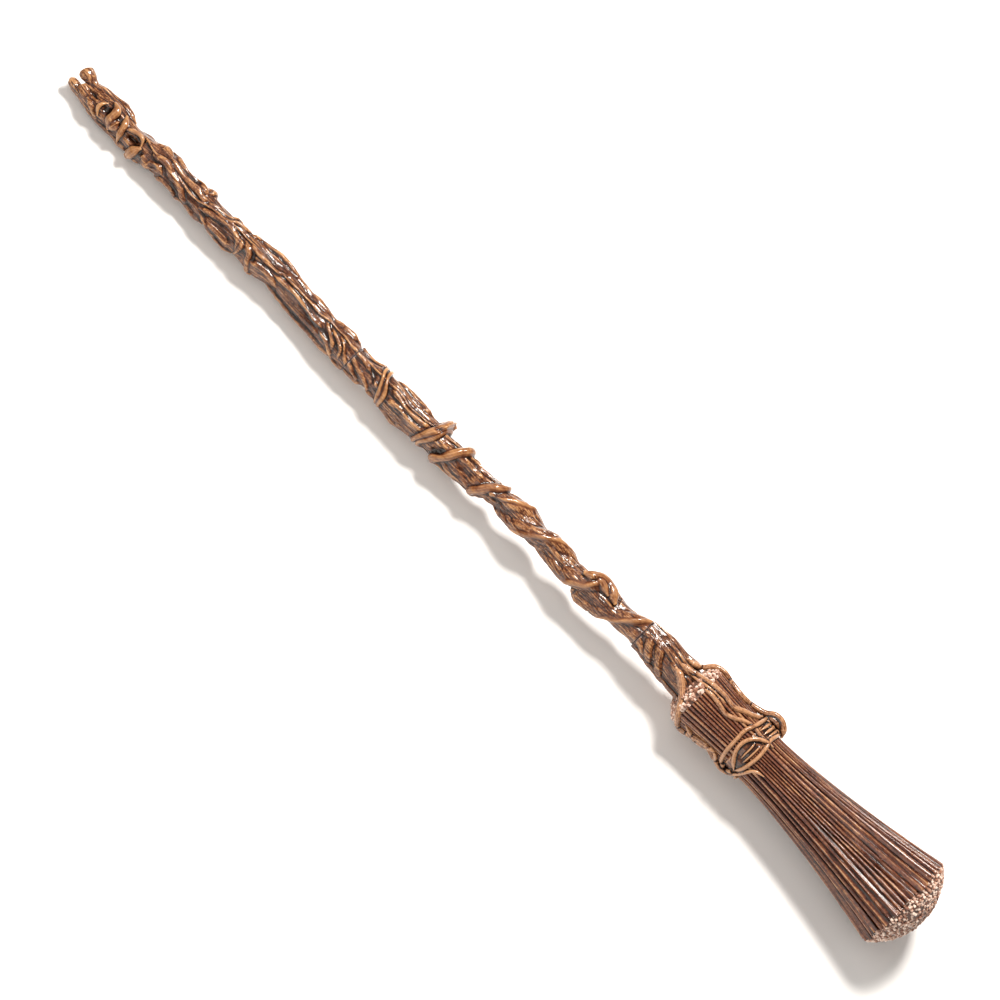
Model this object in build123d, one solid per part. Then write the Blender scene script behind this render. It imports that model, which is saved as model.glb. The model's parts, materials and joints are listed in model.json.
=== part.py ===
from build123d import *
import math
import os

# A stage broomstick moulded in plastic to look like gnarled wood, wound with vines, with a bundle
# of straight bristles bound on its foot. It comes apart in three equal lengths that push together
# on hidden plugs. Each length is a pair of hollow half shells that meet on one straight mould line.
#
# The broomstick is modelled along +X, from the forked tip at 0 to the crown of the bristle end.
# +Z points at the mould line, +Y is the back half's side and -Y the front half's. Once made, it is
# laid down on the floor, where it rests on the rim of the bristles and on the vines near the tip.
# Every length is in millimetres and every angle in degrees.

# ---------------------------------------------------------------- driving dimensions
OVERALL = 1100.0
LENGTHS = 3
SECTION = OVERALL / LENGTHS
TIP_SEAM = SECTION
HEAD_SEAM = 2 * SECTION

WALL = 2.6
RIB_THICK = 5.0
BEND_SIDE = 61.0          # the stick weaves to this side of +Z, towards +Y
LOBES = 3                 # the stick reads as three stems grown together
HALF_STEPS = 9            # points round half of the stick's outline
LOBE_DEPTH = 0.06
TWIST_PER_MM = 0.55       # how fast the stems wind round each other

PLUG_RADIUS = 7.5
PLUG_LENGTH = 45.0
PLUG_WALL = 2.0
PLUG_ROOT = 30.0          # the part glued into its own section
PLUG_CHAMFER = 1.0
ROOT_RADIUS = 8.0         # a little more than the plug, so that its shoulder meets the sleeve
SLEEVE_RADIUS = 9.4       # outside of the socket sleeve
SLEEVE_LENGTH = PLUG_LENGTH + 4.0
BORE_LENGTH = PLUG_LENGTH + 1.0
KEY_SHORT = 3.0           # how far the key stops short of the plug's nose
FIT_GAP = 0.08
KEY_WIDTH = 3.0
KEY_HEIGHT = 1.0
KEY_GAP = 0.12

PEG_RADIUS = 1.2
PEG_LENGTH = 3.0
PEG_GAP = 0.12
PEG_APART = 4.0

# The stick: (distance from the tip, sideways weave, radius).
STICK = [
    (27.0, -0.6, 7.0),
    (54.0, -2.2, 13.4),
    (84.0, -3.6, 13.2),
    (117.0, 0.0, 15.6),
    (153.0, 0.6, 13.4),
    (174.0, -0.8, 14.6),
    (217.0, -1.2, 15.4),
    (244.0, 0.0, 15.6),
    (270.0, 1.8, 13.8),
    (300.0, -2.4, 13.4),
    (322.0, -2.0, 14.4),
    (TIP_SEAM, -4.4, 14.2),
    (388.0, -3.8, 13.0),
    (413.0, -3.4, 13.6),
    (440.0, -3.8, 14.6),
    (468.0, -3.0, 13.8),
    (500.0, -2.8, 13.2),
    (546.0, 0.2, 12.9),
    (593.0, 1.0, 14.8),
    (626.0, 1.4, 12.7),
    (673.0, 1.2, 16.4),
    (698.0, 0.8, 12.6),
    (HEAD_SEAM, 4.8, 14.2),
    (767.0, 4.6, 16.6),
    (797.0, 2.0, 14.2),
]

# Vines wound round the stick: (distance, radius of the ring, thickness radius, tilt, facing).
TIP_RINGS = [
    (54.0, 13.2, 3.2, 12.0, -20.0),
    (68.0, 13.4, 3.6, 10.0, 160.0),
    (90.0, 14.4, 3.6, 20.0, -120.0),
]
MIDDLE_RINGS = [
    (412.0, 13.2, 3.0, 20.0, -29.0),
    (479.0, 14.6, 3.6, 24.0, 151.0),
    (506.0, 13.4, 3.8, 30.0, 151.0),
    (534.0, 12.8, 3.4, 30.0, 151.0),
    (668.0, 15.4, 3.2, 40.0, 151.0),
]
TIP_RIBS = (118.0, 196.0, 274.0)
TIP_HOLLOW_START = 78.0   # the fork and its vines are solid up to here
MIDDLE_RIBS = (470.0, 550.0, 630.0)

# The fork: (distance, sideways, radius) of each prong, and the ball at its end.
BACK_PRONG = [(8.0, 8.3, 6.0), (21.0, 6.8, 5.0), (36.0, 3.4, 6.6), (56.0, 0.0, 9.0)]
FRONT_PRONG = [(5.2, -6.6, 4.2), (21.0, -6.8, 5.0), (36.0, -4.6, 7.0), (56.0, -2.0, 9.0)]
BACK_KNOB = (7.4, 8.3, 7.2)
FRONT_KNOB = (5.2, -6.6, 5.2)

# The bristle bundle: it narrows to a waist under the binding, then flares to its rim.
BUNDLE_START = 812.0
BUNDLE_WAIST = 895.0
BUNDLE_END = 1076.0
TOP_RADIUS = 31.0
WAIST_RADIUS = 26.0
RIM_RADIUS = 50.0
FLARE_POWER = 1.5
BRISTLES_PER_HALF = 24
BRISTLE_BULGE = 0.42      # how far a bristle stands out, as a share of its width
BUNDLE_WALL = 3.2
FLUTE_DEPTH = 2.0         # room left for the valleys between bristles, over the wall
HUB_ROOM = 2.4            # the same, with a little more for the hub's glue
SHOULDER_TOP = 797.0
SHOULDER_RADIUS = 18.0
SHOULDER_SWELL = 2.0      # how far the shoulder's arc bulges
SHOULDER_INSET = 2.2      # how far the shoulder and the cap stay inside the bristles' outside
CAP_INSET = 1.4
TAIL_RADIUS = 12.0        # the neck's tail, which holds the bundle from inside
TAIL_START = 789.0
TAIL_END = 868.0
HUB_WALL = 2.4
HUB_WEBS = 6
HUB_START = 818.0
HUB_END = 1070.0
CAP_THICK = 3.0
CAP_LIP = 6.0
LIP_STEP = 3.2

# The vine cage that grips the bundle.
CAGE_GAP = 0.4
CAGE_BAND = (862.0, 893.0)
CAGE_BAND_RADIUS = 28.9
CAGE_RINGS = [(868.0, 30.6, 3.3, 9.0, -29.0), (886.0, 30.0, 3.3, 8.0, 151.0), (877.0, 31.0, 3.0, 20.0, 61.0)]
CAGE_STEMS = (0.0, 61.0, 128.0, 185.0, 241.0)
STEM_RADIUS = 3.2
STEM_ROUTE = [(764.0, 10.0), (790.0, 19.5), (811.0, 33.8), (840.0, 32.0), (880.0, 30.2)]
STEM_BEND = 10.0

SPACING = 24.0            # how far apart the outlines stand that the long skins are drawn through
RUN_ON = 48.0             # how far the stick's skin is drawn on past its ends before it is cut
OVERCUT = 1.0             # how far a bore is run on past the face that it opens through
FAR = 2000.0              # bigger than the whole broomstick


# ---------------------------------------------------------------- small helpers
def polar(distance, radius, angle, centre=(0.0, 0.0)):
    """The point at an angle from +Z towards +Y, round a line along X through centre (y, z)."""
    turned = math.radians(angle)
    return (distance, centre[0] + radius * math.sin(turned), centre[1] + radius * math.cos(turned))


def weave(sideways):
    """The stick's centre (y, z) where it leans sideways by this much."""
    return polar(0.0, sideways, BEND_SIDE)[1:]


def stick_at(distance):
    """(sideways, radius) of the stick at a distance from the tip, eased between its stations."""
    for (start, side_a, radius_a), (end, side_b, radius_b) in zip(STICK, STICK[1:]):
        if distance <= end:
            share = min(max((distance - start) / (end - start), 0.0), 1.0)
            ease = share * share * (3 - 2 * share)
            return side_a + (side_b - side_a) * ease, radius_a + (radius_b - radius_a) * ease
    return STICK[-1][1:]


def half_outline(distance, sideways, radius, side):
    """Half of the stick's outline at one station, closed along the mould line.

    It is a round with shallow lobes that wind along the stick. The stick leans off the mould line
    by lean, so each point's reach is worked out from the place where the line crosses it.
    """
    sign = 1 if side == "back" else -1
    lean, height = weave(sideways)
    points = []
    for k in range(HALF_STEPS + 1):
        angle = sign * 180.0 * k / HALF_STEPS
        lobe = 1 + LOBE_DEPTH * math.cos(math.radians(LOBES * (angle - TWIST_PER_MM * distance)))
        across = math.radians(angle)
        reach = lean * math.sin(across) + math.sqrt((radius * lobe) ** 2 - (lean * math.cos(across)) ** 2)
        points.append(Vector(*polar(distance, reach, angle, (0.0, height))))
    return Wire([Edge.make_spline(points), Edge.make_line(points[-1], points[0])])


def round_face(distance, radius, centre):
    """A disc that faces along X."""
    return Plane((distance, *centre), x_dir=(0, 1, 0), z_dir=(1, 0, 0)) * Circle(radius)


def rod(start, end, radius, centre=(0.0, 0.0)):
    """A plain cylinder along X."""
    return extrude(round_face(start, radius, centre), amount=end - start)


def spread(start, end):
    """Evenly spaced distances from start to end."""
    count = max(2, round((end - start) / SPACING))
    return [start + (end - start) * k / count for k in range(count + 1)]


def half_stick(start, end, side):
    """One half of the stick's outside, as a solid.

    Its skin is drawn on past both ends and then cut square, so that it stays fair up to them.
    """
    stretch = spread(start - RUN_ON, end + RUN_ON)
    skin = Solid.make_loft([half_outline(distance, *stick_at(distance), side) for distance in stretch])
    return skin & (Pos((start + end) / 2, 0, 0) * Box(end - start, FAR, FAR))


def cavities(start, end, ribs):
    """The hollows inside a section, one between each rib and the next."""
    edges = [start, *[d for rib in ribs for d in (rib - RIB_THICK / 2, rib + RIB_THICK / 2)], end]
    hollows = []
    for low, high in zip(edges[::2], edges[1::2]):
        discs = []
        for distance in spread(low, high):
            sideways, radius = stick_at(distance)
            discs.append(round_face(distance, radius * (1 - LOBE_DEPTH) - WALL, weave(sideways)))
        hollows.append(loft(discs))
    return hollows


def ring(distance, ring_radius, thickness, tilt, facing, centre):
    """A vine's turn: a torus tipped by tilt, whose leading side faces the angle facing."""
    torus = Rot(0, 90, 0) * Torus(ring_radius, thickness)
    tipped = Rot(0, tilt, 0) * torus
    return Pos(distance, *centre) * (Rot(-facing, 0, 0) * tipped)


def half(shape, side):
    """The part of a shape on the front (-Y) or back (+Y) of the mould line."""
    sign = 1 if side == "back" else -1
    return shape & (Pos(OVERALL / 2, sign * FAR / 2, 0) * Box(FAR, FAR, FAR))


def peg_places(ribs):
    """Where the locating pegs stand on the ribs."""
    for rib in ribs:
        _, centre_z = weave(stick_at(rib)[0])
        for step in (-PEG_APART, PEG_APART):
            yield rib, centre_z + step


def peg(distance, height, radius, length):
    """A locating peg, or its hole, that starts on the mould line and points to the back."""
    base = Plane((distance, 0, height), x_dir=(1, 0, 0), z_dir=(0, 1, 0)) * Circle(radius)
    return extrude(base, amount=length)


def split_shells(name, outside, extras, hollows, ribs):
    """A section's two half shells.

    outside is (start, end) of the stick, extras are added to it and hollows taken away. The front
    half carries the pegs and the back half their holes.
    """
    shells = {}
    for side in ("front", "back"):
        shell = half_stick(*outside, side)
        for extra in extras:
            shell = shell + half(extra, side)
        for hollow in hollows:
            shell = shell - hollow
        for distance, height in peg_places(ribs):
            if side == "front":
                shell = shell + peg(distance, height, PEG_RADIUS, PEG_LENGTH)
            else:
                shell = shell - peg(distance, height, PEG_RADIUS + PEG_GAP, PEG_LENGTH + PEG_GAP)
        shells[f"{name}_shell_{side}"] = shell
    return shells


def vine_turns(turns):
    """The turns of vine in a list, each round the stick where it sits."""
    return [ring(distance, *turn, weave(stick_at(distance)[0])) for distance, *turn in turns]


def prong(stations, knob):
    """One prong of the fork, with its rounded end."""
    distance, sideways, radius = knob
    discs = [round_face(d, r, weave(side)) for d, side, r in stations]
    return loft(discs) + Pos(distance, *weave(sideways)) * Sphere(radius)


# ---------------------------------------------------------------- plugs and sockets
def key_bar(start, end, centre, grow):
    """The rib that keeps a plug from turning. Grown a little, it is the socket's keyway."""
    width = KEY_WIDTH + 2 * grow
    height = PLUG_RADIUS + KEY_HEIGHT + grow
    return Pos((start + end) / 2, centre[0], centre[1] + height / 2) * Box(end - start, width, height)


def plug(seam):
    """A hollow plug: its root is glued into the section before the seam, and the rest stands out."""
    centre = weave(stick_at(seam)[0])
    end = seam + PLUG_LENGTH
    root = rod(seam - PLUG_ROOT, seam, ROOT_RADIUS, centre)
    nose = chamfer(rod(seam, end, PLUG_RADIUS, centre).edges().sort_by(Axis.X)[-1], PLUG_CHAMFER)
    bore = rod(seam - PLUG_ROOT, end, PLUG_RADIUS - PLUG_WALL, centre)
    key = key_bar(seam, end - KEY_SHORT, centre, 0.0)
    return root + nose + key - bore


def socket_sleeve(seam):
    """The sleeve that a plug slides into, glued into the section after the seam."""
    centre = weave(stick_at(seam)[0])
    end = seam + SLEEVE_LENGTH
    sleeve = rod(seam, end, SLEEVE_RADIUS, centre)
    bore = rod(seam, seam + BORE_LENGTH, PLUG_RADIUS + FIT_GAP, centre)
    keyway = key_bar(seam, seam + BORE_LENGTH, centre, KEY_GAP)
    vent = rod(seam, end, PLUG_RADIUS - PLUG_WALL, centre)
    return sleeve - bore - keyway - vent


def seam_room(seam, start, end, radius):
    """The room inside a section for what is glued in at a seam."""
    return rod(start, end, radius, weave(stick_at(seam)[0]))


def root_room(seam):
    """The room for a plug's root, before its seam."""
    return seam_room(seam, seam - PLUG_ROOT, seam + OVERCUT, ROOT_RADIUS)


def sleeve_room(seam):
    """The room for a socket's sleeve, after its seam."""
    return seam_room(seam, seam - OVERCUT, seam + SLEEVE_LENGTH, SLEEVE_RADIUS)


# ---------------------------------------------------------------- the tip section
def tip_section():
    """Forked tip, three turns of vine and the long tapering stem down to the first seam."""
    prongs = [prong(BACK_PRONG, BACK_KNOB), prong(FRONT_PRONG, FRONT_KNOB)]
    hollows = [*cavities(TIP_HOLLOW_START, TIP_SEAM - PLUG_ROOT, TIP_RIBS), root_room(TIP_SEAM)]
    return split_shells("tip", (STICK[0][0], TIP_SEAM), [*prongs, *vine_turns(TIP_RINGS)], hollows, TIP_RIBS)


# ---------------------------------------------------------------- the middle section
def middle_section():
    """The grip, with its turns of smooth vine over bark."""
    hollows = cavities(TIP_SEAM + SLEEVE_LENGTH, HEAD_SEAM - PLUG_ROOT, MIDDLE_RIBS)
    hollows += [sleeve_room(TIP_SEAM), root_room(HEAD_SEAM)]
    return split_shells("middle", (TIP_SEAM, HEAD_SEAM), vine_turns(MIDDLE_RINGS), hollows, MIDDLE_RIBS)


# ---------------------------------------------------------------- the head section
def neck():
    """The stem above the bristles, with the straight tail that the bundle is built round."""
    tail = rod(TAIL_START, TAIL_END, TAIL_RADIUS)
    hollow = rod(TAIL_START, TAIL_END + OVERCUT, TAIL_RADIUS - WALL)
    return split_shells("neck", (HEAD_SEAM, SHOULDER_TOP), [tail], [sleeve_room(HEAD_SEAM), hollow], ())


def bundle_radius(distance):
    """The radius over the bristles, which grows away from the waist on both sides."""
    if distance > BUNDLE_WAIST:
        share = (distance - BUNDLE_WAIST) / (BUNDLE_END - BUNDLE_WAIST)
        return WAIST_RADIUS + (RIM_RADIUS - WAIST_RADIUS) * share**FLARE_POWER
    share = (BUNDLE_WAIST - distance) / (BUNDLE_WAIST - BUNDLE_START)
    return WAIST_RADIUS + (TOP_RADIUS - WAIST_RADIUS) * share**FLARE_POWER


def bundle_profile(offset):
    """The bundle's outline from its axis outwards, moved out by offset."""
    points = [(distance, bundle_radius(distance) + offset) for distance in spread(BUNDLE_START, BUNDLE_END)]
    rest = Polyline(points[-1], (BUNDLE_END, 0), (BUNDLE_START, 0), points[0])
    return make_face(Spline(*points) + rest)


def turned(profile):
    """A profile in the XY plane, turned about the X axis."""
    return revolve(profile, Axis.X)


def half_bristle_outline(distance, radius, side):
    """Half of the bundle's outline: bristles side by side, closed along the mould line."""
    sign = 1 if side == "back" else -1
    step = 180.0 / BRISTLES_PER_HALF
    valley = radius * (1 - BRISTLE_BULGE * math.radians(step))
    edges = []
    for k in range(BRISTLES_PER_HALF):
        start = polar(distance, valley, sign * k * step)
        crown = polar(distance, radius, sign * (k + 0.5) * step)
        end = polar(distance, valley, sign * (k + 1) * step)
        edges.append(Edge.make_three_point_arc(Vector(*start), Vector(*crown), Vector(*end)))
    edges.append(Edge.make_line(Vector(*polar(distance, valley, 180)), Vector(*polar(distance, valley, 0))))
    return Wire(edges)


def bristle_shells():
    """The moulded bristles, as two fluted half shells."""
    inside = turned(bundle_profile(-BUNDLE_WALL - FLUTE_DEPTH))
    shells = {}
    for side in ("front", "back"):
        distances = spread(BUNDLE_START, BUNDLE_END)
        outlines = [half_bristle_outline(distance, bundle_radius(distance), side) for distance in distances]
        shells[f"bristle_shell_{side}"] = Solid.make_loft(outlines) - inside
    return shells


def shoulder_profile(grow, bore):
    """The domed shoulder's outline, grown outwards, from the bundle's rim in to bore."""
    start = BUNDLE_START
    rim = TOP_RADIUS - SHOULDER_INSET + grow
    top = SHOULDER_TOP - grow
    corner = SHOULDER_RADIUS + grow
    swell = ((start + top) / 2 - SHOULDER_SWELL, (rim + corner) / 2 + SHOULDER_SWELL)
    crown = ThreePointArc((start, rim), swell, (top, corner))
    return make_face(crown + Polyline((top, corner), (top, bore), (start, bore), (start, rim)))


def shoulder_ring():
    """The cut ends of the bristles round the neck, as a domed ring on top of the bundle."""
    return turned(shoulder_profile(0.0, TAIL_RADIUS))


def dome_arc(start, rim, crown):
    """The arc of a round dome in the XY plane, from its rim down to its crown on the axis."""
    height = crown - start
    round_radius = (rim * rim + height * height) / (2 * height)
    opening = math.degrees(math.asin(rim / round_radius))
    return CenterArc((crown - round_radius, 0), round_radius, 0, opening)


def end_cap():
    """The domed foot of the bundle, with a lip that sits inside the bristle shells."""
    end = BUNDLE_END
    rim = RIM_RADIUS - CAP_INSET
    lip = RIM_RADIUS - BUNDLE_WALL - CAP_INSET - LIP_STEP
    crown = make_face(dome_arc(end, rim, OVERALL) + Polyline((OVERALL, 0), (end, 0), (end, rim)))
    hollow = make_face(
        dome_arc(end, lip - CAP_THICK, OVERALL - CAP_THICK)
        + Polyline((OVERALL - CAP_THICK, 0), (end, 0), (end, lip - CAP_THICK))
    )
    ledge = rod(end - CAP_LIP, end, lip) - rod(end - CAP_LIP, end, lip - CAP_THICK)
    return turned(crown) - turned(hollow) + ledge


def core_hub():
    """The webbed core that keeps the bundle round and ties the neck's tail to the end cap."""
    hub = rod(HUB_START, HUB_END, TAIL_RADIUS + FIT_GAP + HUB_WALL)
    room = turned(bundle_profile(-BUNDLE_WALL - HUB_ROOM))
    for k in range(HUB_WEBS):
        blade = Pos((HUB_START + HUB_END) / 2, 0, FAR / 4) * Box(HUB_END - HUB_START, HUB_WALL, FAR / 2)
        hub = hub + Rot((k + 0.5) * 360.0 / HUB_WEBS, 0, 0) * blade
    hub = hub & room
    cap_room = rod(BUNDLE_END - CAP_LIP - FIT_GAP, OVERALL, FAR / 4)
    bore = rod(HUB_START - OVERCUT, HUB_END + OVERCUT, TAIL_RADIUS + FIT_GAP)
    return hub - bore - cap_room


def stem_sweep(angle):
    """One root-like stem of the cage, from the neck over the shoulder to the binding."""
    route = [Vector(*polar(distance, radius, angle)) for distance, radius in STEM_ROUTE]
    path = FilletPolyline(*route, radius=STEM_BEND)
    start = Plane(path @ 0, z_dir=path % 0) * Circle(STEM_RADIUS)
    return sweep(start, path=path)


def vine_cage():
    """The binding of vines round the bundle, and the stems that run down to it from the neck."""
    start, end = CAGE_BAND
    extras = [rod(start, end, CAGE_BAND_RADIUS)]
    extras += [ring(distance, *turn, (0.0, 0.0)) for distance, *turn in CAGE_RINGS]
    extras += [stem_sweep(angle) for angle in CAGE_STEMS]
    bundle_room = turned(bundle_profile(CAGE_GAP))
    shoulder_room = turned(shoulder_profile(CAGE_GAP, 0.0))
    cages = {}
    for side in ("front", "back"):
        cage = half(extras[0], side)
        for extra in extras[1:]:
            cage = cage + half(extra, side)
        cage = cage - bundle_room - shoulder_room - half_stick(HEAD_SEAM, SHOULDER_TOP, side)
        cages[f"vine_cage_{side}"] = cage
    return cages


# ---------------------------------------------------------------- assembly
def parts():
    """Every piece of the broomstick, by name, along the X axis."""
    made = {}
    made.update(tip_section())
    made["tip_plug"] = plug(TIP_SEAM)
    made.update(middle_section())
    made["middle_socket"] = socket_sleeve(TIP_SEAM)
    made["middle_plug"] = plug(HEAD_SEAM)
    made["head_socket"] = socket_sleeve(HEAD_SEAM)
    made.update(neck())
    made.update(bristle_shells())
    made["shoulder_ring"] = shoulder_ring()
    made["core_hub"] = core_hub()
    made["end_cap"] = end_cap()
    made.update(vine_cage())
    return made


def lie_angle():
    """How far the stick leans when it lies on the rim of its bristles and the vines near its tip."""
    distance, ring_radius, thickness, *_ = TIP_RINGS[-1]
    drop = RIM_RADIUS - ring_radius - thickness
    return math.degrees(math.asin(drop / (BUNDLE_END - distance)))


def laid_down(made):
    """The pieces turned to lie on the floor, with the origin on the floor under their middle."""
    leaned = {name: shape.rotate(Axis.Y, -lie_angle()) for name, shape in made.items()}
    box = Compound(children=[Compound(s.solids()) for s in leaned.values()]).bounding_box()
    shift = (-(box.min.X + box.max.X) / 2, -(box.min.Y + box.max.Y) / 2, -box.min.Z)
    print("lie angle", round(lie_angle(), 4), "shift", [round(v, 4) for v in shift])
    return {name: shape.translate(shift) for name, shape in leaned.items()}


os.makedirs("parts", exist_ok=True)
for node, shape in laid_down(parts()).items():
    export_step(Compound(shape.solids()), f"parts/{node}.step")
    print(node, len(shape.solids()), "solid", round(shape.volume / 1000, 1), "cm3")
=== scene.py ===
# %% [markdown]
# # A moulded stage broomstick
#
# A witch's broomstick for the stage, cast in plastic to look like gnarled wood. It has three lengths
# that push together: a forked tip, a grip wound with vine, and a head of straight bristles tied with
# more vine. The real one is sculpted, moulded in two halves, painted dark brown and then dry-brushed
# with bronze, which leaves bright paint on every high edge.
#
# First the engineering model is loaded. It fixes every size, so nothing here moves or resizes it.

# %% Load the frame
import json
import math
import bpy
import numpy as np
from mathutils import Matrix, Vector
from mathutils.kdtree import KDTree


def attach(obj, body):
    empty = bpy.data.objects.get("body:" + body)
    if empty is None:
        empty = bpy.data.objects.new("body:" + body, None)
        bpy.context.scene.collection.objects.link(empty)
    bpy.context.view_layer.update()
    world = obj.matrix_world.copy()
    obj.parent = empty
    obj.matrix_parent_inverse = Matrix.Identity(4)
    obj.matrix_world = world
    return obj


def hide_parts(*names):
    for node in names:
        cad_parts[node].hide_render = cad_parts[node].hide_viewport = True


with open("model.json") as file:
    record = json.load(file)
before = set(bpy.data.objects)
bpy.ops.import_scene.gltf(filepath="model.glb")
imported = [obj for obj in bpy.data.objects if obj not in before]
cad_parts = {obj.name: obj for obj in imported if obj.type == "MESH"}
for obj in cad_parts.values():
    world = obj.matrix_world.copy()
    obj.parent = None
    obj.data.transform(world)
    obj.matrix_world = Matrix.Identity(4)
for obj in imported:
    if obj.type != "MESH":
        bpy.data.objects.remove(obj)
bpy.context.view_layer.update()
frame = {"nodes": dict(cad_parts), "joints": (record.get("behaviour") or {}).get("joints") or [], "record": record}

MM = 0.001

# %% [markdown]
# The broomstick lies on the floor with a slight lean, because its bristle end is fatter than its tip.
# Carving is much easier in the stick's own directions: along it from the tip, across it, and up out of
# it towards whoever looks at it. So each piece is made there and laid down on the floor at the end.
# The lean is read from the direction in which the lengths pull apart, and the place from the grip.

# %% The stick's own directions
TIP_SEAM = 1100 / 3
HEAD_SEAM = 2200 / 3
GRIP_AT = 550.0
ACROSS_TURN = math.radians(61)      # "across" is this far round from the mould line at the top

forward = -Vector(frame["joints"][0]["axis"]).normalized()
grip = Vector(frame["record"]["mounts"][0]["pos_m"])
sideways = Vector((0, 1, 0))
upward = forward.cross(sideways)
LAY_DOWN = Matrix.Translation(grip - forward * GRIP_AT * MM) @ Matrix(
    (forward, sideways, upward)).transposed().to_4x4()


def spot(along, across, out):
    """Points in metres from millimetres along the stick, across it and out of it."""
    along, across, out = np.broadcast_arrays(along, across, out)
    sin, cos = math.sin(ACROSS_TURN), math.cos(ACROSS_TURN)
    y = across * sin - out * cos
    z = across * cos + out * sin
    return np.stack([along, y, z], axis=-1).astype(float) * MM


print("lean", round(math.degrees(math.asin(forward.z)), 2), "degrees")

# %% [markdown]
# ## Small tools
#
# These are the moves that every piece needs: clear the selection, take a new primitive, apply a
# modifier, read and write all the points of a mesh at once, and lay a finished piece down.

# %% Selection, modifiers and points
def only(piece):
    """Selects one object and makes it active."""
    if bpy.context.object and bpy.context.object.mode != "OBJECT":
        bpy.ops.object.mode_set(mode="OBJECT")
    bpy.ops.object.select_all(action="DESELECT")
    piece.select_set(True)
    bpy.context.view_layer.objects.active = piece
    return piece


def named(name):
    """The object that an operator has just added, given its name."""
    piece = bpy.context.object
    piece.name = piece.data.name = name
    return piece


def apply(piece, kind, **settings):
    """Adds a modifier, sets it and applies it."""
    only(piece)
    modifier = piece.modifiers.new(kind.lower(), kind)
    for key, value in settings.items():
        setattr(modifier, key, value)
    bpy.ops.object.modifier_apply(modifier=modifier.name)


def points_of(piece):
    """All vertex positions, as an array."""
    flat = np.empty(len(piece.data.vertices) * 3)
    piece.data.vertices.foreach_get("co", flat)
    return flat.reshape(-1, 3)


def normals_of(piece):
    """All vertex normals, as an array."""
    flat = np.empty(len(piece.data.vertices) * 3)
    piece.data.vertices.foreach_get("normal", flat)
    return flat.reshape(-1, 3)


def move_points(piece, points):
    """Writes the vertex positions back."""
    piece.data.vertices.foreach_set("co", np.ascontiguousarray(points).ravel())
    piece.data.update()


def join(pieces, name):
    """Joins objects into the first one."""
    only(pieces[0])
    for piece in pieces[1:]:
        piece.select_set(True)
    if len(pieces) > 1:
        bpy.ops.object.join()
    return named(name)


def lay_down(piece, body, slot, *nodes):
    """Puts a finished piece in place on its body and hides the model's parts it stands in for. slot is not used.
    """
    only(piece)
    piece.matrix_world = LAY_DOWN
    bpy.ops.object.transform_apply(location=True, rotation=True, scale=True)
    if nodes:
        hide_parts(*nodes)
    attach(piece, body)
    size = piece.dimensions / MM
    print(piece.name, len(piece.data.polygons), "faces", [round(v, 1) for v in size], "mm")


# %% [markdown]
# ## The stick's outline
#
# A gnarled stick is never straight or round. This list says, every couple of centimetres, how low and
# how high it reaches across. Between the stations the outline is smoothed, so that the swellings run
# into each other as they do in clay.

# %% The outline
OUTLINE = [  # (along, lowest across, highest across)
    (0, -12.7, 12.3), (27.6, -16, 9.8), (38.7, -16, 11.7), (49.7, -16.5, 13.6),
    (60.8, -16.5, 13), (71.8, -16.5, 9.7), (85.6, -17.5, 9), (93.9, -18, 11),
    (104.9, -16.4, 13.5), (116, -16.4, 16), (127, -16.4, 14.5), (138.1, -16.3, 12.2),
    (149.1, -13.2, 13.2), (160.2, -12.7, 14.4), (182.3, -15.4, 11.7), (204.4, -15.7, 13.6),
    (226.5, -15.7, 14.4), (243.1, -16.2, 15.6), (254.1, -12.8, 16.6), (265.1, -11.6, 15.6),
    (287.2, -15, 12.7), (298.3, -15.8, 10.3), (320.3, -16.5, 12.2), (331.4, -17, 9.2),
    (353.5, -18.9, 12.2), (364.6, -19, 9.5), (375.6, -18.4, 7.4), (386.6, -16.6, 9.3),
    (397.7, -16.1, 12.2), (411.5, -18.2, 12.3), (430.8, -19.8, 11.9), (452.9, -18.2, 11.1),
    (463.9, -17.3, 11.8), (480, -17.2, 11.6), (491.5, -17.2, 10.5), (505.4, -17.4, 11.8),
    (519.2, -15.6, 9.1), (530.2, -15.6, 9.6), (541.3, -12.6, 11.5), (552.3, -12.3, 12.3),
    (574.4, -12.4, 14.6), (596.5, -14, 14.9), (618.6, -11.3, 13.3), (640.7, -12.6, 12.9),
    (662.8, -15.8, 15.2), (673.8, -15.6, 15.6), (684.9, -14.4, 14.8), (695.9, -11.2, 12.5),
    (718, -10.6, 16.8), (732.7, -9.4, 19.4), (756.6, -11.4, 21.8), (778.7, -13.3, 19.7),
    (795.3, -15, 20), (830, -15, 20),
]
grid_along = np.arange(0.0, 830.0, 1.0)
soft = np.exp(-0.5 * (np.arange(-12, 13) / 2.8) ** 2)
soft /= soft.sum()


def smoothed(values):
    """A row of values every millimetre, softened over about a centimetre."""
    return np.convolve(np.pad(values, 12, mode="edge"), soft, mode="valid")


stations = np.array(OUTLINE)
low_line = smoothed(np.interp(grid_along, stations[:, 0], stations[:, 1]))
high_line = smoothed(np.interp(grid_along, stations[:, 0], stations[:, 2]))


def middle_of(along):
    """How far across the stick's middle lies."""
    return np.interp(along, grid_along, (low_line + high_line) / 2)


def radius_of(along):
    """The stick's radius."""
    return np.interp(along, grid_along, (high_line - low_line) / 2)


radii = radius_of(grid_along[40:])
print("radius from", round(float(radii.min()), 1), "to", round(float(radii.max()), 1), "mm")

# %% [markdown]
# ## Stems
#
# The sculptor rolled thin sausages of clay and laid them along and round the stick. A curve with a
# thickness is the same thing: each stem is a path with a radius at every point. Stems on the stick are
# given by where they run along and across it, and how proud they stand of its outline.

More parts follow.
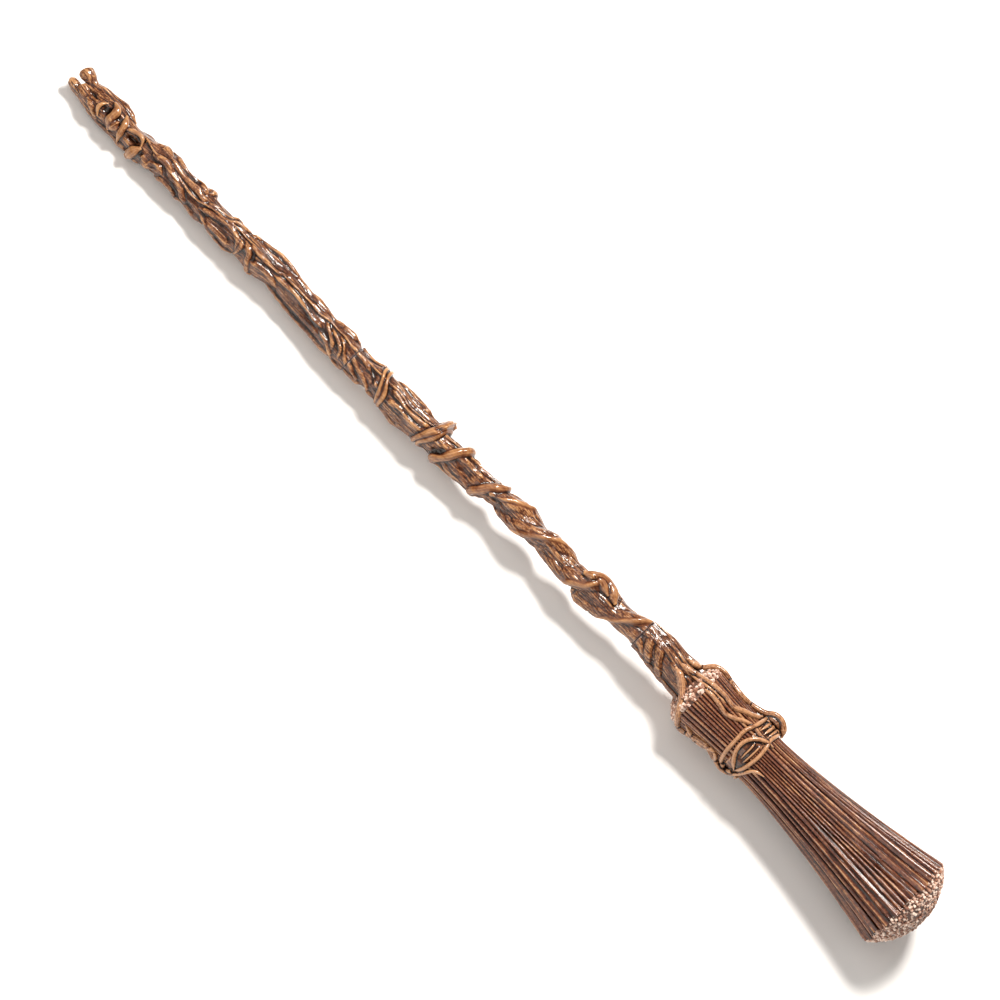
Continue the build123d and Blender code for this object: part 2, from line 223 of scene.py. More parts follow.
# %% Smooth paths
def with_radius(places, radii):
    """Places with a radius each: the same one for all, or changing evenly between the given ones."""
    radii = np.atleast_1d(radii)
    between = np.interp(np.linspace(0, len(radii) - 1, len(places)), range(len(radii)), radii)
    return np.column_stack([places, between.round(2)])


def fair(rows, step=2.5):
    """A smooth path through a few given rows, with a point every few millimetres."""
    rows = np.array(rows, float)
    gaps = np.linalg.norm(np.diff(rows[:, :2], axis=0), axis=1) + 1e-6
    at = np.concatenate([[0], np.cumsum(gaps)])
    count = max(4, int(at[-1] / step) + 1)
    wanted = np.linspace(0, at[-1], count)
    slopes = np.gradient(rows, at, axis=0)
    k = np.clip(np.searchsorted(at, wanted, side="right") - 1, 0, len(at) - 2)
    span = (at[k + 1] - at[k])[:, None]
    t = ((wanted - at[k]) / (at[k + 1] - at[k]))[:, None]
    a, b = rows[k], rows[k + 1]
    return ((2 * t**3 - 3 * t**2 + 1) * a + (t**3 - 2 * t**2 + t) * span * slopes[k]
            + (3 * t**2 - 2 * t**3) * b + (t**3 - t**2) * span * slopes[k + 1])


print("a path through 3 places has", len(fair([(0, 0, 1), (10, 4, 2), (20, 0, 1)])), "points")

# %% [markdown]
# A curve's bevel gives each path a round section, as thick as the radius at every point, and its ends
# are capped, so that the remesh later finds closed shapes. Convert makes it a mesh.

# %% Stems as curves
def stem(points, radii, name="stem", sides=3):
    """One stem: a curve through points in metres, thick by radii in millimetres, made a mesh."""
    bpy.ops.curve.primitive_bezier_curve_add(location=(0, 0, 0))
    piece = named(name)
    curve = piece.data
    curve.splines.clear()
    line = curve.splines.new("POLY")
    line.points.add(len(points) - 1)
    line.points.foreach_set("co", np.column_stack([points, np.ones(len(points))]).ravel())
    line.points.foreach_set("radius", np.asarray(radii, float) * MM)
    curve.dimensions = "3D"
    curve.bevel_depth = 1.0
    curve.bevel_resolution = sides
    curve.use_fill_caps = True
    only(piece)
    bpy.ops.object.convert(target="MESH")
    return bpy.context.object


def free_stem(rows):
    """A stem given by (along, across, out, radius)."""
    path = fair(rows)
    return stem(spot(path[:, 0], path[:, 1], path[:, 2]), path[:, 3])


# %% [markdown]
# A stem that lies on the stick is drawn in two numbers, as on paper: along and across. How far out it
# lies follows from the stick's radius there, so it hugs the outline. Its ends dive under the surface,
# as a sausage of clay does where the thumb smears it out. Vines that wind round are given by angle.

# %% Stems on the stick
def sunk_ends(path, length=8.0):
    """0 at both ends of a path and 1 from a little way in, so that a stem's ends sink out of sight."""
    run = np.concatenate([[0], np.cumsum(np.linalg.norm(np.diff(path[:, :2], axis=0), axis=1))])
    share = np.clip(np.minimum(run, run[-1] - run) / min(length, 0.45 * run[-1]), 0, 1)
    return share * share * (3 - 2 * share)


vine_paths = []          # (points, radii) of the smooth vines, for the grain and the paint to know
VINE_PROUD = 2.0         # a stem that stands this proud of the outline is a smooth vine
VINE_THICK = 6.0         # and so is one that winds round, if it is thinner than this
VINE_REACH = 1.45        # the skin is vine this many radii from a vine's middle
VINE_EDGE = 2.5          # and how fast it turns to bark past that


def laid_stem(rows, proud=1.0, back=False, shift=0.0):
    """A stem on the stick's front, from (along, across, radius). back puts it on the far side, and
    shift slides it along without a change of shape."""
    path = fair(rows, 1.5)
    sunk = sunk_ends(path)
    along, across = path[:, 0] + shift, path[:, 1]
    radius = path[:, 2] * (0.35 + 0.65 * sunk)
    middle, reach = middle_of(along), radius_of(along) + proud - radius - 2.4 * (1 - sunk)
    offset = np.clip(across - middle_of(path[:, 0]), -reach - 1.2, reach + 1.2)
    out = np.sqrt(np.maximum(reach**2 - offset**2, 0.04))
    if back:
        offset, out = -offset, -out
    points = spot(along, middle + offset, out)
    if proud > VINE_PROUD:
        vine_paths.append((points, radius))
    return stem(points, radius)


def wound_stem(rows):
    """A stem wound round the stick, from (along, turn in degrees, radius, proud)."""
    rows = np.array(rows, float)
    scaled = rows.copy()
    scaled[:, 1] *= 0.25                      # a degree is about a quarter of a millimetre here
    path = fair(scaled)
    along, turn, radius = path[:, 0], np.radians(path[:, 1] / 0.25), path[:, 2]
    reach = radius_of(along) + path[:, 3] - radius
    points = spot(along, middle_of(along) + reach * np.cos(turn), reach * np.sin(turn))
    if radius.max() < VINE_THICK:
        vine_paths.append((points, radius))
    return stem(points, radius)


def core(start, end, inset):
    """The body of the stick under its stems, run on past both ends. inset: how deep it lies below the
    outline, as (along, inset) stations."""
    along = np.arange(start, end + 1.0, 3.0)
    ease = np.sqrt(np.clip((along - 4.0) / 26.0, 0.1, 1))
    below = np.interp(along, *zip(*inset))
    return stem(spot(along, middle_of(along), 0.0), (radius_of(along) - below) * ease, "core", 8)


def seam_tube(start, end, radius):
    """The wall round a plug or a sleeve."""
    return stem(spot(np.array([start, end]), middle_at_seam(start, end), 0.0), [radius, radius], "tube", 8)


# %% [markdown]
# ## From sausages to one skin
#
# Loose stems still look like sausages. A voxel remesh melts them into one closed skin, and a little
# smoothing rounds the valleys. A boolean union could join them too, but it leaves sharp creases. The
# smooth vines are marked on the skin, because they take less grain and a calmer paint than the bark.

# %% Melting
def write_marks(piece, label, value):
    """Stores one number for every point of a mesh, for the paint to read."""
    layer = piece.data.attributes.new(label, "FLOAT", "POINT")
    layer.data.foreach_set("value", np.asarray(value, np.float32))


def melt(pieces, name, voxel, rounds):
    """Joins stems, remeshes them into one closed skin and softens it."""
    piece = join(pieces, name)
    piece.data.remesh_voxel_size = voxel * MM
    piece.data.remesh_voxel_adaptivity = 0.0
    only(piece)
    bpy.ops.object.voxel_remesh()
    apply(piece, "SMOOTH", factor=0.5, iterations=rounds)
    return piece


def mark_vines(piece):
    """Marks where a skin is smooth vine, 1, and where it is bark, 0."""
    tree = KDTree(sum(len(points) for points, _ in vine_paths))
    reach = []
    for points, radii in vine_paths:
        for point, radius in zip(points, radii):
            tree.insert(point, len(reach))
            reach.append(radius * MM)
    tree.balance()
    value = []
    for vertex in piece.data.vertices:
        place, index, distance = tree.find(vertex.co)
        value.append(min(1.0, max(0.0, (VINE_REACH - distance / reach[index]) * VINE_EDGE)))
    write_marks(piece, "vine", value)
    vine_paths.clear()
    print(piece.name, round(100 * float(np.mean(value))), "percent smooth vine")
    return np.array(value)


# %% [markdown]
# ## Grain
#
# The sculptor dragged a stiff brush along the clay. The same marks come from noise that is stretched
# along the stick and wraps round it without a seam: a table of random heights, read smoothly. Pushing
# points along their normals by it costs no triangles, which a displacement of copied lines would.

# %% Noise round the stick
def noise_sheet(seed, across, along):
    """A sheet of random heights that repeats round the stick."""
    return np.random.default_rng(seed).uniform(-1, 1, (across, along))


def sample(sheet, turn, along, length):
    """Smooth noise from a sheet: turn from 0 to 1 round the stick, along in millimetres."""
    rows, columns = sheet.shape
    u, v = (turn % 1.0) * rows, (along / length) % columns
    i, j = np.floor(u).astype(int), np.floor(v).astype(int)
    fu, fv = u - i, v - j
    fu, fv = fu * fu * (3 - 2 * fu), fv * fv * (3 - 2 * fv)
    a = sheet[i % rows, j % columns] * (1 - fu) + sheet[(i + 1) % rows, j % columns] * fu
    b = sheet[i % rows, (j + 1) % columns] * (1 - fu) + sheet[(i + 1) % rows, (j + 1) % columns] * fu
    return a * (1 - fv) + b * fv


def across_and_out(points):
    """How far across the stick and out of it points lie, in metres."""
    sin, cos = math.sin(ACROSS_TURN), math.cos(ACROSS_TURN)
    return points[:, 1] * sin + points[:, 2] * cos, points[:, 2] * sin - points[:, 1] * cos


def round_the_stick(points, twist):
    """(turn from 0 to 1, along in mm) of points on the stick, with the turn following a twist."""
    along = points[:, 0] / MM
    across, out = across_and_out(points)
    turn = np.arctan2(out, across - middle_of(along) * MM) / (2 * math.pi)
    return turn - twist * along / 360.0, along


there = across_and_out(spot([0.0], 3.0, 4.0) / MM)
print("3 mm across and 4 mm out reads back as", [round(float(v[0]), 3) for v in there])

# %% [markdown]
# Three sheets are laid over one another: lines, finer lines, and slow ones. Kneading then moves the
# whole skin about by a millimetre or two, because rolled stems are too even to pass for a plant.

# %% Grain and kneading
def press_grain(piece, depth, twist=0.0, lines=70, length=14.0, mask=None, seed=1, smooth=0.0):
    """Presses stretched noise into a skin, along its normals, less so where it is smooth. lines:
    how many go round the stick. The sheets repeat along it at lengths that don't fall together."""
    points, normals = points_of(piece), normals_of(piece)
    turn, along = round_the_stick(points, twist)
    height = 0.6 * sample(noise_sheet(seed, lines, 97), turn, along, length)
    height += 0.4 * sample(noise_sheet(seed + 1, lines * 2, 131), turn, along, length * 0.6)
    height += 0.5 * sample(noise_sheet(seed + 2, lines // 3, 61), turn, along, length * 1.7)
    if mask is not None:
        height *= np.interp(along, *zip(*mask))
    height *= 1 - 0.8 * smooth
    side_on = 1 - np.abs(normals[:, 0])          # end faces stay flat
    move_points(piece, points + normals * (height * side_on * depth * MM)[:, None])


def knead(piece, seed=51):
    """Pushes a skin about a little, so that nothing on it stays as even as a rolled stem."""
    points = points_of(piece)
    turn, along = round_the_stick(points, 0.0)
    slide = sample(noise_sheet(seed, 7, 83), turn, along, 13.0) * 2.4
    spin = sample(noise_sheet(seed + 1, 6, 83), turn, along, 15.0) * math.radians(8)
    swell = sample(noise_sheet(seed + 2, 8, 83), turn, along, 11.0) * 0.9
    swell += sample(noise_sheet(seed + 3, 22, 83), turn, along, 6.0) * 0.35
    middle = middle_of(along)
    across, out = across_and_out(points)
    across, out = across / MM - middle, out / MM
    grow = 1 + swell / np.maximum(np.hypot(across, out), 6.0)
    move_points(piece, spot(along + slide, middle + grow * (across * np.cos(spin) - out * np.sin(spin)),
                            grow * (across * np.sin(spin) + out * np.cos(spin))))


# %% [markdown]
# ## Walls, hollows and cuts
#
# A length is hollow where a plug or a sleeve sits in it, and the kneaded skin must not come closer to
# that than a moulded wall can be thin, so it is pushed out there. Hollows are thumbed into the front.
# Then the length is cut square at its seams and bored, which leaves real mouths for the joints.

# %% Walls, hollows and cuts
def keep_wall(piece, start, end, radius):
    """Pushes a skin out to at least a radius round a plug or a sleeve."""
    points = points_of(piece)
    axis = spot(points[:, 0] / MM, middle_at_seam(start, end), 0.0)
    apart = points - axis
    far = np.linalg.norm(apart[:, 1:], axis=1)
    inside = (points[:, 0] > start * MM) & (points[:, 0] < end * MM) & (far < radius * MM) & (far > 1e-5)
    points[inside] = axis[inside] + apart[inside] * (radius * MM / far[inside])[:, None]
    move_points(piece, points)


def press_hollows(piece, hollows):
    """Thumbs hollows into the front, each (along, across, half length, half width, depth, slant)."""
    points, normals = points_of(piece), normals_of(piece)
    across, out = across_and_out(points)
    across = across / MM
    for along, place, length, width, depth, slant in hollows:
        a, b = points[:, 0] / MM - along, across - place
        turned = math.radians(slant)
        a, b = a * math.cos(turned) + b * math.sin(turned), b * math.cos(turned) - a * math.sin(turned)
        near = np.exp(-((a / length) ** 2 + (b / width) ** 2) ** 1.4) * (out > 0)
        points -= normals * (near * depth * MM)[:, None]
    move_points(piece, points)


# %% [markdown]
# ## Relief for the paint
#
# Dry-brushed paint catches on what stands proud, so the paint has to know how high each point stands
# above its surroundings. Averaging each point with its neighbours many times gives the surroundings,
# and the difference along the normal is the height: one fine, for grain, and one broad, for stems.

# %% Relief and worn seams
def mean_of_neighbours(piece, values, rounds):
    """Values averaged over each vertex's neighbours, again and again."""
    edges = np.empty(len(piece.data.edges) * 2, int)
    piece.data.edges.foreach_get("vertices", edges)
    a, b = edges[::2], edges[1::2]
    count = len(piece.data.vertices)
    degree = np.maximum(np.bincount(a, minlength=count) + np.bincount(b, minlength=count), 1)
    for _ in range(rounds):
        total = np.empty_like(values)
        for k in range(values.shape[1]):
            column = values[:, k]
            total[:, k] = np.bincount(a, column[b], count) + np.bincount(b, column[a], count)
        values = 0.4 * values + 0.6 * total / degree[:, None]
    return values


def mark_relief(piece, rounds=(4, 40), scales=(0.2, 1.9)):
    """Stores how far each point stands above its surroundings, 0 deep and 1 high, for the paint."""
    points, normals = points_of(piece), normals_of(piece)
    near = mean_of_neighbours(piece, points, rounds[0])
    far = mean_of_neighbours(piece, near, rounds[1])
    fine = ((points - near) * normals).sum(1) / (scales[0] * MM)
    broad = ((near - far) * normals).sum(1) / (scales[1] * MM)
    for label, value in (("fine_relief", fine), ("broad_relief", broad)):
        write_marks(piece, label, np.clip(0.5 + 0.5 * value, 0, 1))


def wear_seams(piece):
    """Rounds a skin over at the seams and marks how worn it is there."""
    points = points_of(piece)
    along = points[:, 0] / MM
    apart = np.minimum(abs(along - TIP_SEAM), abs(along - HEAD_SEAM))
    middle = spot(along, middle_of(along), 0.0)
    points = middle + (points - middle) * (1 - 0.05 * np.exp(-((apart / 0.6) ** 2)))[:, None]
    move_points(piece, points)
    write_marks(piece, "seam_wear", np.exp(-((apart / 1.1) ** 2)))


# %% [markdown]
# The cuts are made last. Bisect with a filled cut gives a clean flat mouth, and an exact boolean with
# a plain cylinder bores the hole for the plug or the sleeve of the neighbouring length.

# %% Cutting and boring
SEAM_ACROSS = {TIP_SEAM: -4.4, HEAD_SEAM: 4.8}      # where the plugs lie across, at each seam
SLEEVE = 9.46          # a hair over the sleeves' own radius of 9.4
SLEEVE_LONG = 49.1     # how deep a sleeve sits
ROOT = 8.06            # a hair over the plug roots' 8
ROOT_LONG = 30.6       # how deep a root sits
RUN_PAST = 9.0         # how far stems run past a seam before it is cut
SLEEVE_TUBE, ROOT_TUBE = 10.8, 9.4                  # radius of the clay round each before the cut
TUBE_LONG, WALL_LONG = 52.0, 50.5                   # how far that clay and its wall go for a sleeve


def cut_square(piece, along, keep_after):
    """Cuts a skin square across the stick and closes it."""
    only(piece)
    bpy.ops.object.mode_set(mode="EDIT")
    bpy.ops.mesh.select_all(action="SELECT")
    bpy.ops.mesh.bisect(plane_co=(along * MM, 0, 0), plane_no=(1, 0, 0), use_fill=True,
                        clear_inner=keep_after, clear_outer=not keep_after)
    bpy.ops.object.mode_set(mode="OBJECT")


def drill(piece, start, end, radius):
    """Bores a round hole along the stick, where a plug or a sleeve sits."""
    where = spot(start, middle_at_seam(start, end), 0.0)
    middle = Vector(spot((start + end) / 2, middle_at_seam(start, end), 0.0))
    bpy.ops.mesh.primitive_cylinder_add(vertices=48, radius=radius * MM, depth=abs(end - start) * MM,
                                        location=middle, rotation=(0, math.pi / 2, 0))
    tool = named("drill")
    apply(piece, "BOOLEAN", object=tool, operation="DIFFERENCE", solver="EXACT")
    bpy.data.objects.remove(tool)


def middle_at_seam(start, end):
    """How far across the plug at a seam lies."""
    seam = min((TIP_SEAM, HEAD_SEAM), key=lambda s: min(abs(s - start), abs(s - end)))
    return SEAM_ACROSS[seam]


print("bores", round(2 * SLEEVE, 2), "and", round(2 * ROOT, 2), "mm wide")

# %% [markdown]
# ## The tip
#
# Two prongs end in rounded knobs, like sawn and healed branch ends. Behind them a vine curls back on
# itself twice and the rest flows down the stick in long folds round smooth hollows.

# %% The tip's stems
TIP_PRONGS = [  # (along, across, out, radius)
    [(0.9, 8.9, 0, 1.6), (2.6, 9, 0, 4.9), (8, 9.2, 0, 7.2), (13.5, 8.6, 0, 6.5), (19, 7.4, 0, 4.8),
        (24, 6.8, 0, 4.4), (31, 7, 0, 5.2), (41, 6, 0, 7.4), (54, 2.5, 0, 9.5)],
    [(0.9, -6, 0, 1.2), (2.3, -6, 0, 3.6), (6, -6.2, 0, 5.1), (12, -6.9, 0, 4.9), (20, -7.8, 0, 5.4),
        (30, -8.2, 0, 7), (41, -7, 0, 8.6), (54, -4, 0, 10.5)],
]
TIP_STEMS = [  # (proud, radius or radii, [(along, across), ...])
    (0.68, (2.48, 4.03), [(26.7, -12), (34.1, -15.2), (43.3, -17.9), (53.4, -18.4), (63.5, -17.5),
        (72.7, -15.6)]),
    (0.51, 2.63, [(23, -6.4), (34.1, -10.1), (43.3, -13.8), (56.2, -14.7), (67.2, -12.9)]),
    (0.42, 3.72, [(28.5, 11), (39.6, 10.1), (48.8, 12.9), (61.7, 12.4), (72.7, 9.2)]),
    (3.12, 2.21, [(44.2, 2.8), (41, -1.8), (40.5, -6.2), (43.9, -12)]),
    (3.38, (3.9, 4.68), [(46.9, 7.4), (53.4, 3.7), (54.3, -6.2), (58, -13.8)]),
    (3.9, 6.24, [(55.2, -5.5), (60.8, -7.4), (65.4, -8.3)]),
    (3.9, (3.64, 4.16), [(61.7, 7.4), (68.1, -1.6), (70, -9.2), (72.7, -16.6)]),
    (3.64, 2.6, [(70.9, -2.8), (74.6, 1.4), (81.9, 2.8), (89.3, 0), (93, -4.6)]),
    (3.9, (4.16, 5.46), [(93.9, -5.5), (91.1, -10.1), (88.4, -16.6), (84.7, -22.1)]),
    (1.61, (7.75, 4.65), [(97.6, -8.3), (104.9, -9.2), (115.1, -7.4), (124.3, -9.2)]),
    (0.59, 1.16, [(70, 3.7), (88.4, 4.1), (111.4, 1.6), (134.4, 0), (157.4, -1.6), (180.4, 1.6),
        (210.8, 4.6), (235.6, 4.1), (277.1, 4.1), (323.1, 4.6), (378.3, 4.1)]),
    (1.53, (4.03, 4.65), [(104, 0), (122.2, 0.7), (134.4, -3), (150, -7.6), (162, -12.2),
        (179.5, -15.6)]),
    (0.85, 2.79, [(116.9, -14.7), (134.4, -12), (148.2, -13.8), (164.8, -17.5)]),
    (1.61, 2.63, [(169.4, -5.5), (187.8, -1.6), (210.8, 0), (219.1, -4.6), (220, -12.2)]),
    (1.27, 2.63, [(171.2, -8.3), (187.8, -12.9), (205.3, -15.2), (218.2, -15.6)]),
    (0.77, (4.65, 8.527), [(174, -6.4), (189.6, -7.4), (205.3, -7.4), (216.3, -7.4)]),
    (1.87, 2.33, [(216.3, 0.9), (222.8, -3.7), (223.7, -7.4), (219.5, -13.8)]),
    (1.53, 3.41, [(221.8, 1.8), (230.1, -2.8), (235.6, -10.8), (244.9, -16.6)]),
    (1.19, 6.2, [(102.2, 8.7), (111.4, 9.2), (120.6, 8.3)]),
    (0.94, 4.03, [(115.1, 13.8), (126.1, 11), (139, 8.3), (155.6, 10.1), (170.3, 7.4)]),
    (0.77, 3.41, [(118.7, 7.4), (134.4, 4.6), (148.2, 3.7), (162.9, 4.6), (175.8, 0.9)]),
    (1.44, 6.51, [(161.1, 9.2), (167.5, 9.7), (174.9, 8.3)]),
    (1.02, 2.33, [(170.3, 0.9), (183.2, 5.5), (196.1, 9.2), (209, 13.8)]),
    (0.85, 2.33, [(181.3, -0.9), (194.2, 2.8), (208, 8.3), (221.8, 12)]),
    (1.19, 2.94, [(218.2, 9.2), (229.2, 12.9), (242.1, 15.6), (256.8, 16.1), (271.5, 12)]),
    (1.1, 2.63, [(225.5, 3.7), (236.6, 1.8), (249.5, 1.8), (262.3, 3.2), (275.2, 7.4)]),
    (0.77, 3.41, [(234.7, -8.3), (247.6, -5.5), (260.5, -5.5), (273.4, -7.4)]),
    (1.02, 2.63, [(262.3, -1.8), (277.1, -0.9), (293.6, -1.4), (312, -3.7), (330.5, -5.5)]),
    (0.85, 2.94, [(258.7, -10.1), (273.4, -12), (288.1, -15.2), (309.3, -16.1), (334.1, -16.6)]),
    (1.02, 5.27, [(273.4, 12), (286.3, 11), (300.1, 8.3), (313.9, 10.6), (326.8, 9.2)]),
    (0.94, 4.96, [(337.8, 8.3), (345.2, 9.2), (352.6, 10.1), (361.8, 8.3)]),
    (0.68, 2.02, [(324.9, 2.8), (336, -2.8), (343.3, -8.3), (348.9, -15.6)]),
    (0.68, 2.02, [(334.1, 2.8), (345.2, -2.8), (353.5, -8.3), (359.9, -16.6)]),
    (0.68, 2.02, [(344.3, 2.8), (356.2, -3.7), (363.6, -9.2), (372.8, -16.6)]),
    (0.51, 2.17, [(324.9, -7.4), (341.5, -12), (356.2, -18.4), (372.8, -18.4)]),
]
TIP_BACK = [  # (proud, shift, radius, [(along, across), ...])
    (0.85, 0, 4.03, [(28.5, 11), (46.9, 5.5), (67.2, 9.2), (88.4, 3.7), (111.4, 7.4), (139, 1.8),
        (166.6, 8.3)]),
    (1.02, 6, 4.96, [(24.9, -11), (45.1, -14.7), (65.4, -7.4), (85.6, -12.9), (104, -5.5),
        (129.8, -9.2), (155.6, -3.7), (181.3, -11)]),
    (1.36, 0, 6.51, [(52.5, -5.5), (61.7, -6.4), (72.7, -3.7)]),
    (1.53, 3, 5.58, [(89.3, 11), (96.7, 1.8), (100.3, -7.4), (107.7, -15.6)]),
    (0.85, 8, 3.72, [(157.4, 9.2), (175.8, 3.7), (196.1, -3.7), (216.3, -7.4), (236.6, -12.9)]),
    (1.1, -4, 3.1, [(172.1, -2.8), (190.5, 1.8), (210.8, 3.7), (225.5, -1.8), (242.1, -9.2)]),
    (0.85, 0, 3.72, [(231, 9.2), (254.1, 12.9), (277.1, 11), (304.7, 5.5), (334.1, 8.3), (372.8, 7.4)]),
    (0.85, 5, 3.41, [(242.1, -1.8), (267.9, -4.6), (295.5, -2.8), (323.1, -7.4), (372.8, -5.5)]),
    (0.77, -5, 3.41, [(253.1, -11), (281.7, -12.9), (309.3, -13.8), (341.5, -16.6), (372.8, -16.6)]),
    (0.77, 0, 1.71, [(56.2, 0.9), (111.4, 0), (166.6, 0), (221.8, 0.9), (277.1, 0), (332.3, 0.9),
        (372.8, 0)]),
]
# %% [markdown]
# The back carries fewer and plainer stems, in the manner of the front. The hollows are the smooth
# places between the folds, such as the eye inside the first curl.

# %% Hollows in the tip
TIP_HOLLOWS = [  # (along, across, half length, half width, depth, slant)
    (82.8, -4.6, 5.5, 4, 5.4, 0),
    (46.9, -2.8, 3.5, 3, 3, 70),
    (253.1, 8.7, 17, 4.6, 4.5, 0),
    (237.5, -3.7, 5.5, 2, 1.2, -50),
    (301, -7.8, 26, 5.5, 3.6, 0),
    (196.1, -8.3, 15, 3.2, 2.4, 0),
    (111.4, -11, 5, 3, 2.4, 0),
    (24.9, 0.5, 8, 2.6, 3.3, 0),
    (227.4, -10.1, 3, 5, 1.2, -20),
    (139, -8.3, 8, 2.2, 1, -30),
    (188.7, 8.3, 8, 2.2, 2.1, 20),
]
print(len(TIP_STEMS), "stems,", len(TIP_BACK), "at the back,", len(TIP_HOLLOWS), "hollows")

# %% [markdown]
# Now the tip goes through all the steps: roll, melt, thumb, knead, grain, cut and bore. The grain is
# strong on the bark and weak where the vines are, and the list says how strong it is along the stick.

# %% The tip
VOXEL = 0.75           # the remesh's voxel size for a length, in millimetres; as fine as keeps a length under 200,000 triangles
TIP_GRAIN = [(0, 1.2), (45, 1.0), (60, 0.35), (110, 0.3), (150, 0.5), (190, 0.4),
             (225, 0.9), (262, 0.8), (270, 0.3), (330, 0.35), (355, 0.8), (367, 0.9)]


def front_and_back(front, back):
    """The laid stems of both sides of a length."""
    stems = [laid_stem(with_radius(places, radii), proud) for proud, radii, places in front]
    return stems + [laid_stem(with_radius(places, radii), proud, back=True, shift=shift)
                    for proud, shift, radii, places in back]


tip_parts = [core(13.0, TIP_SEAM + RUN_PAST, [(40, 2.2), (100, 2.6), (140, 1.6)])]
tip_parts += [seam_tube(TIP_SEAM - ROOT_LONG - 2.5, TIP_SEAM + RUN_PAST, ROOT_TUBE)]
tip_parts += [free_stem(rows) for rows in TIP_PRONGS]
tip_parts += front_and_back(TIP_STEMS, TIP_BACK)
tip = melt(tip_parts, "tip_stick", VOXEL, 6)
vine = mark_vines(tip)
press_hollows(tip, TIP_HOLLOWS)
knead(tip)
press_grain(tip, 0.75, smooth=vine, mask=TIP_GRAIN)
keep_wall(tip, TIP_SEAM - ROOT_LONG - 1.5, TIP_SEAM + 20.0, ROOT + 1.1)
cut_square(tip, TIP_SEAM, keep_after=False)
drill(tip, TIP_SEAM - ROOT_LONG, TIP_SEAM + 3.0, ROOT)
mark_relief(tip)
wear_seams(tip)
lay_down(tip, "tip", "bark", "tip_shell_front", "tip_shell_back")

# %% [markdown]
# ## The middle length
#
# This is the grip. Four turns of vine go round it, and past them the stick is two thick stems wound
# together like a rope, each making a full turn in about eleven centimetres.

# %% The middle's stems
MIDDLE_STEMS = [  # (proud, radius, [(along, across), ...])
    (0.77, 2.48, [(358.1, 7.4), (367.3, 8.3), (381.1, 7.4), (390.3, 10.8), (400.4, 13.8)]),
    (0.77, 2.48, [(358.1, -1.8), (366.4, -2.8), (375.6, -6.4), (387.5, -11), (399.5, -15.6),
        (409.6, -19.3)]),
    (0.59, 2.02, [(358.1, 3.7), (369.1, 2.8), (382, 0.9), (394, -3.7), (405.9, -8.3)]),
    (0.59, 2.17, [(358.1, -8.3), (367.3, -9.2), (376.5, -12.9), (387.5, -16.6)]),
    (0.68, 4.03, [(358.1, -14.7), (367.3, -15.6), (378.3, -16.6), (391.2, -14.7)]),
    (0.51, 1.08, [(358.1, 4.1), (392.1, 3.7), (424.4, 2.8), (461.2, 3.2), (488.8, 5.5), (516.4, 8.3),
        (544, 7.4)]),
    (0.68, 3.41, [(411.5, 11), (424.4, 10.1), (440.9, 11), (459.3, 9.2)]),
    (0.59, 2.79, [(411.5, -8.3), (426.2, -5.5), (442.8, -7.4), (461.2, -4.6)]),
    (0.68, 3.41, [(413.3, -15.6), (429.9, -17.5), (444.6, -15.6), (461.2, -15.6)]),
    (0.51, 2.33, [(411.5, 0.9), (426.2, -0.9), (442.8, -1.8), (463, 0)]),
    (9.88, 7.54, [(471.3, 16.6), (475.9, 17.5), (480.5, 16.6)]),
    (0.77, 3.1, [(479.6, -3.7), (492.5, -1.8), (512.7, 1.8), (534.8, 1.8)]),
    (0.77, 3.41, [(490.6, -12.9), (505.4, -13.8), (518.2, -12), (533, -12.9)]),
    (0.77, 3.1, [(509, 9.2), (521.9, 6.4), (534.8, 7.4), (549.5, 9.2)]),
    (6.5, 5.46, [(656.3, 7.4), (665.5, 11), (673.8, 13.8), (681.2, 14.7), (689.5, 12), (697.7, 7.4)]),
    (4.68, 4.68, [(665.5, 9.2), (676.6, 10.1), (687.6, 8.3)]),
    (1.53, 7.75, [(658.2, -10.1), (667.4, -13.8), (676.6, -14.3), (689.5, -10.1)]),
]
MIDDLE_BACK = [  # (proud, shift, radius, [(along, across), ...])
    (0.77, 0, 2.79, [(358.1, 7.4), (378.3, 5.5), (398.6, 8.3), (433.6, 11), (461.2, 8.3), (498, 11),
        (544, 7.4)]),
    (0.77, 0, 2.79, [(358.1, -5.5), (378.3, -8.3), (402.3, -12.9), (433.6, -10.1), (461.2, -12),
        (498, -8.3), (544, -9.2)]),
    (0.68, 0, 1.86, [(358.1, 0), (405.9, 0.9), (461.2, 0), (516.4, 0.9), (562.4, 0)]),
]
TURNS = [  # (along, slant, radius at the top, radius below, proud at the top, proud below)
    (403.6, -7, 1.9, 2.1, 1.8, 1.8),
    (408.4, -6, 1.9, 2.1, 1.5, 1.8),
    (465, 8, 6, 3.2, 9.6, 2.6),
    (470.5, 6.6, 5, 3, 4.5, 2.2),
    (495, 11.5, 4.9, 4.6, 5, 3.6),
    (541, 11.5, 4.6, 5.4, 2.6, 3.4),
]
MIDDLE_HOLLOWS = [
    (391.2, -3.7, 6, 5, 2.4, -30),
    (468.5, 4.6, 3, 5, 3, -70),
    (482.3, -9.2, 4, 6, 2.4, -70),
    (516.4, -5.5, 7, 4, 2.4, 0),
    (555.1, -5.5, 5, 5, 2.1, 0),
]
print(len(MIDDLE_STEMS), "stems,", len(MIDDLE_BACK), "at the back,", len(TURNS), "turns of vine")

# %% [markdown]
# A turn of vine is a ring that slants and swells at one side, where the real one crosses in front. A
# stem of the rope is a plain helix, and a thin second stem beside each keeps the rope from being even.

# %% Turns and rope
ROPE_PITCH = 110.5               # millimetres for a full turn
ROPE_STARTS = (550.4, 599.3)     # where each of the two stems crosses the front's middle


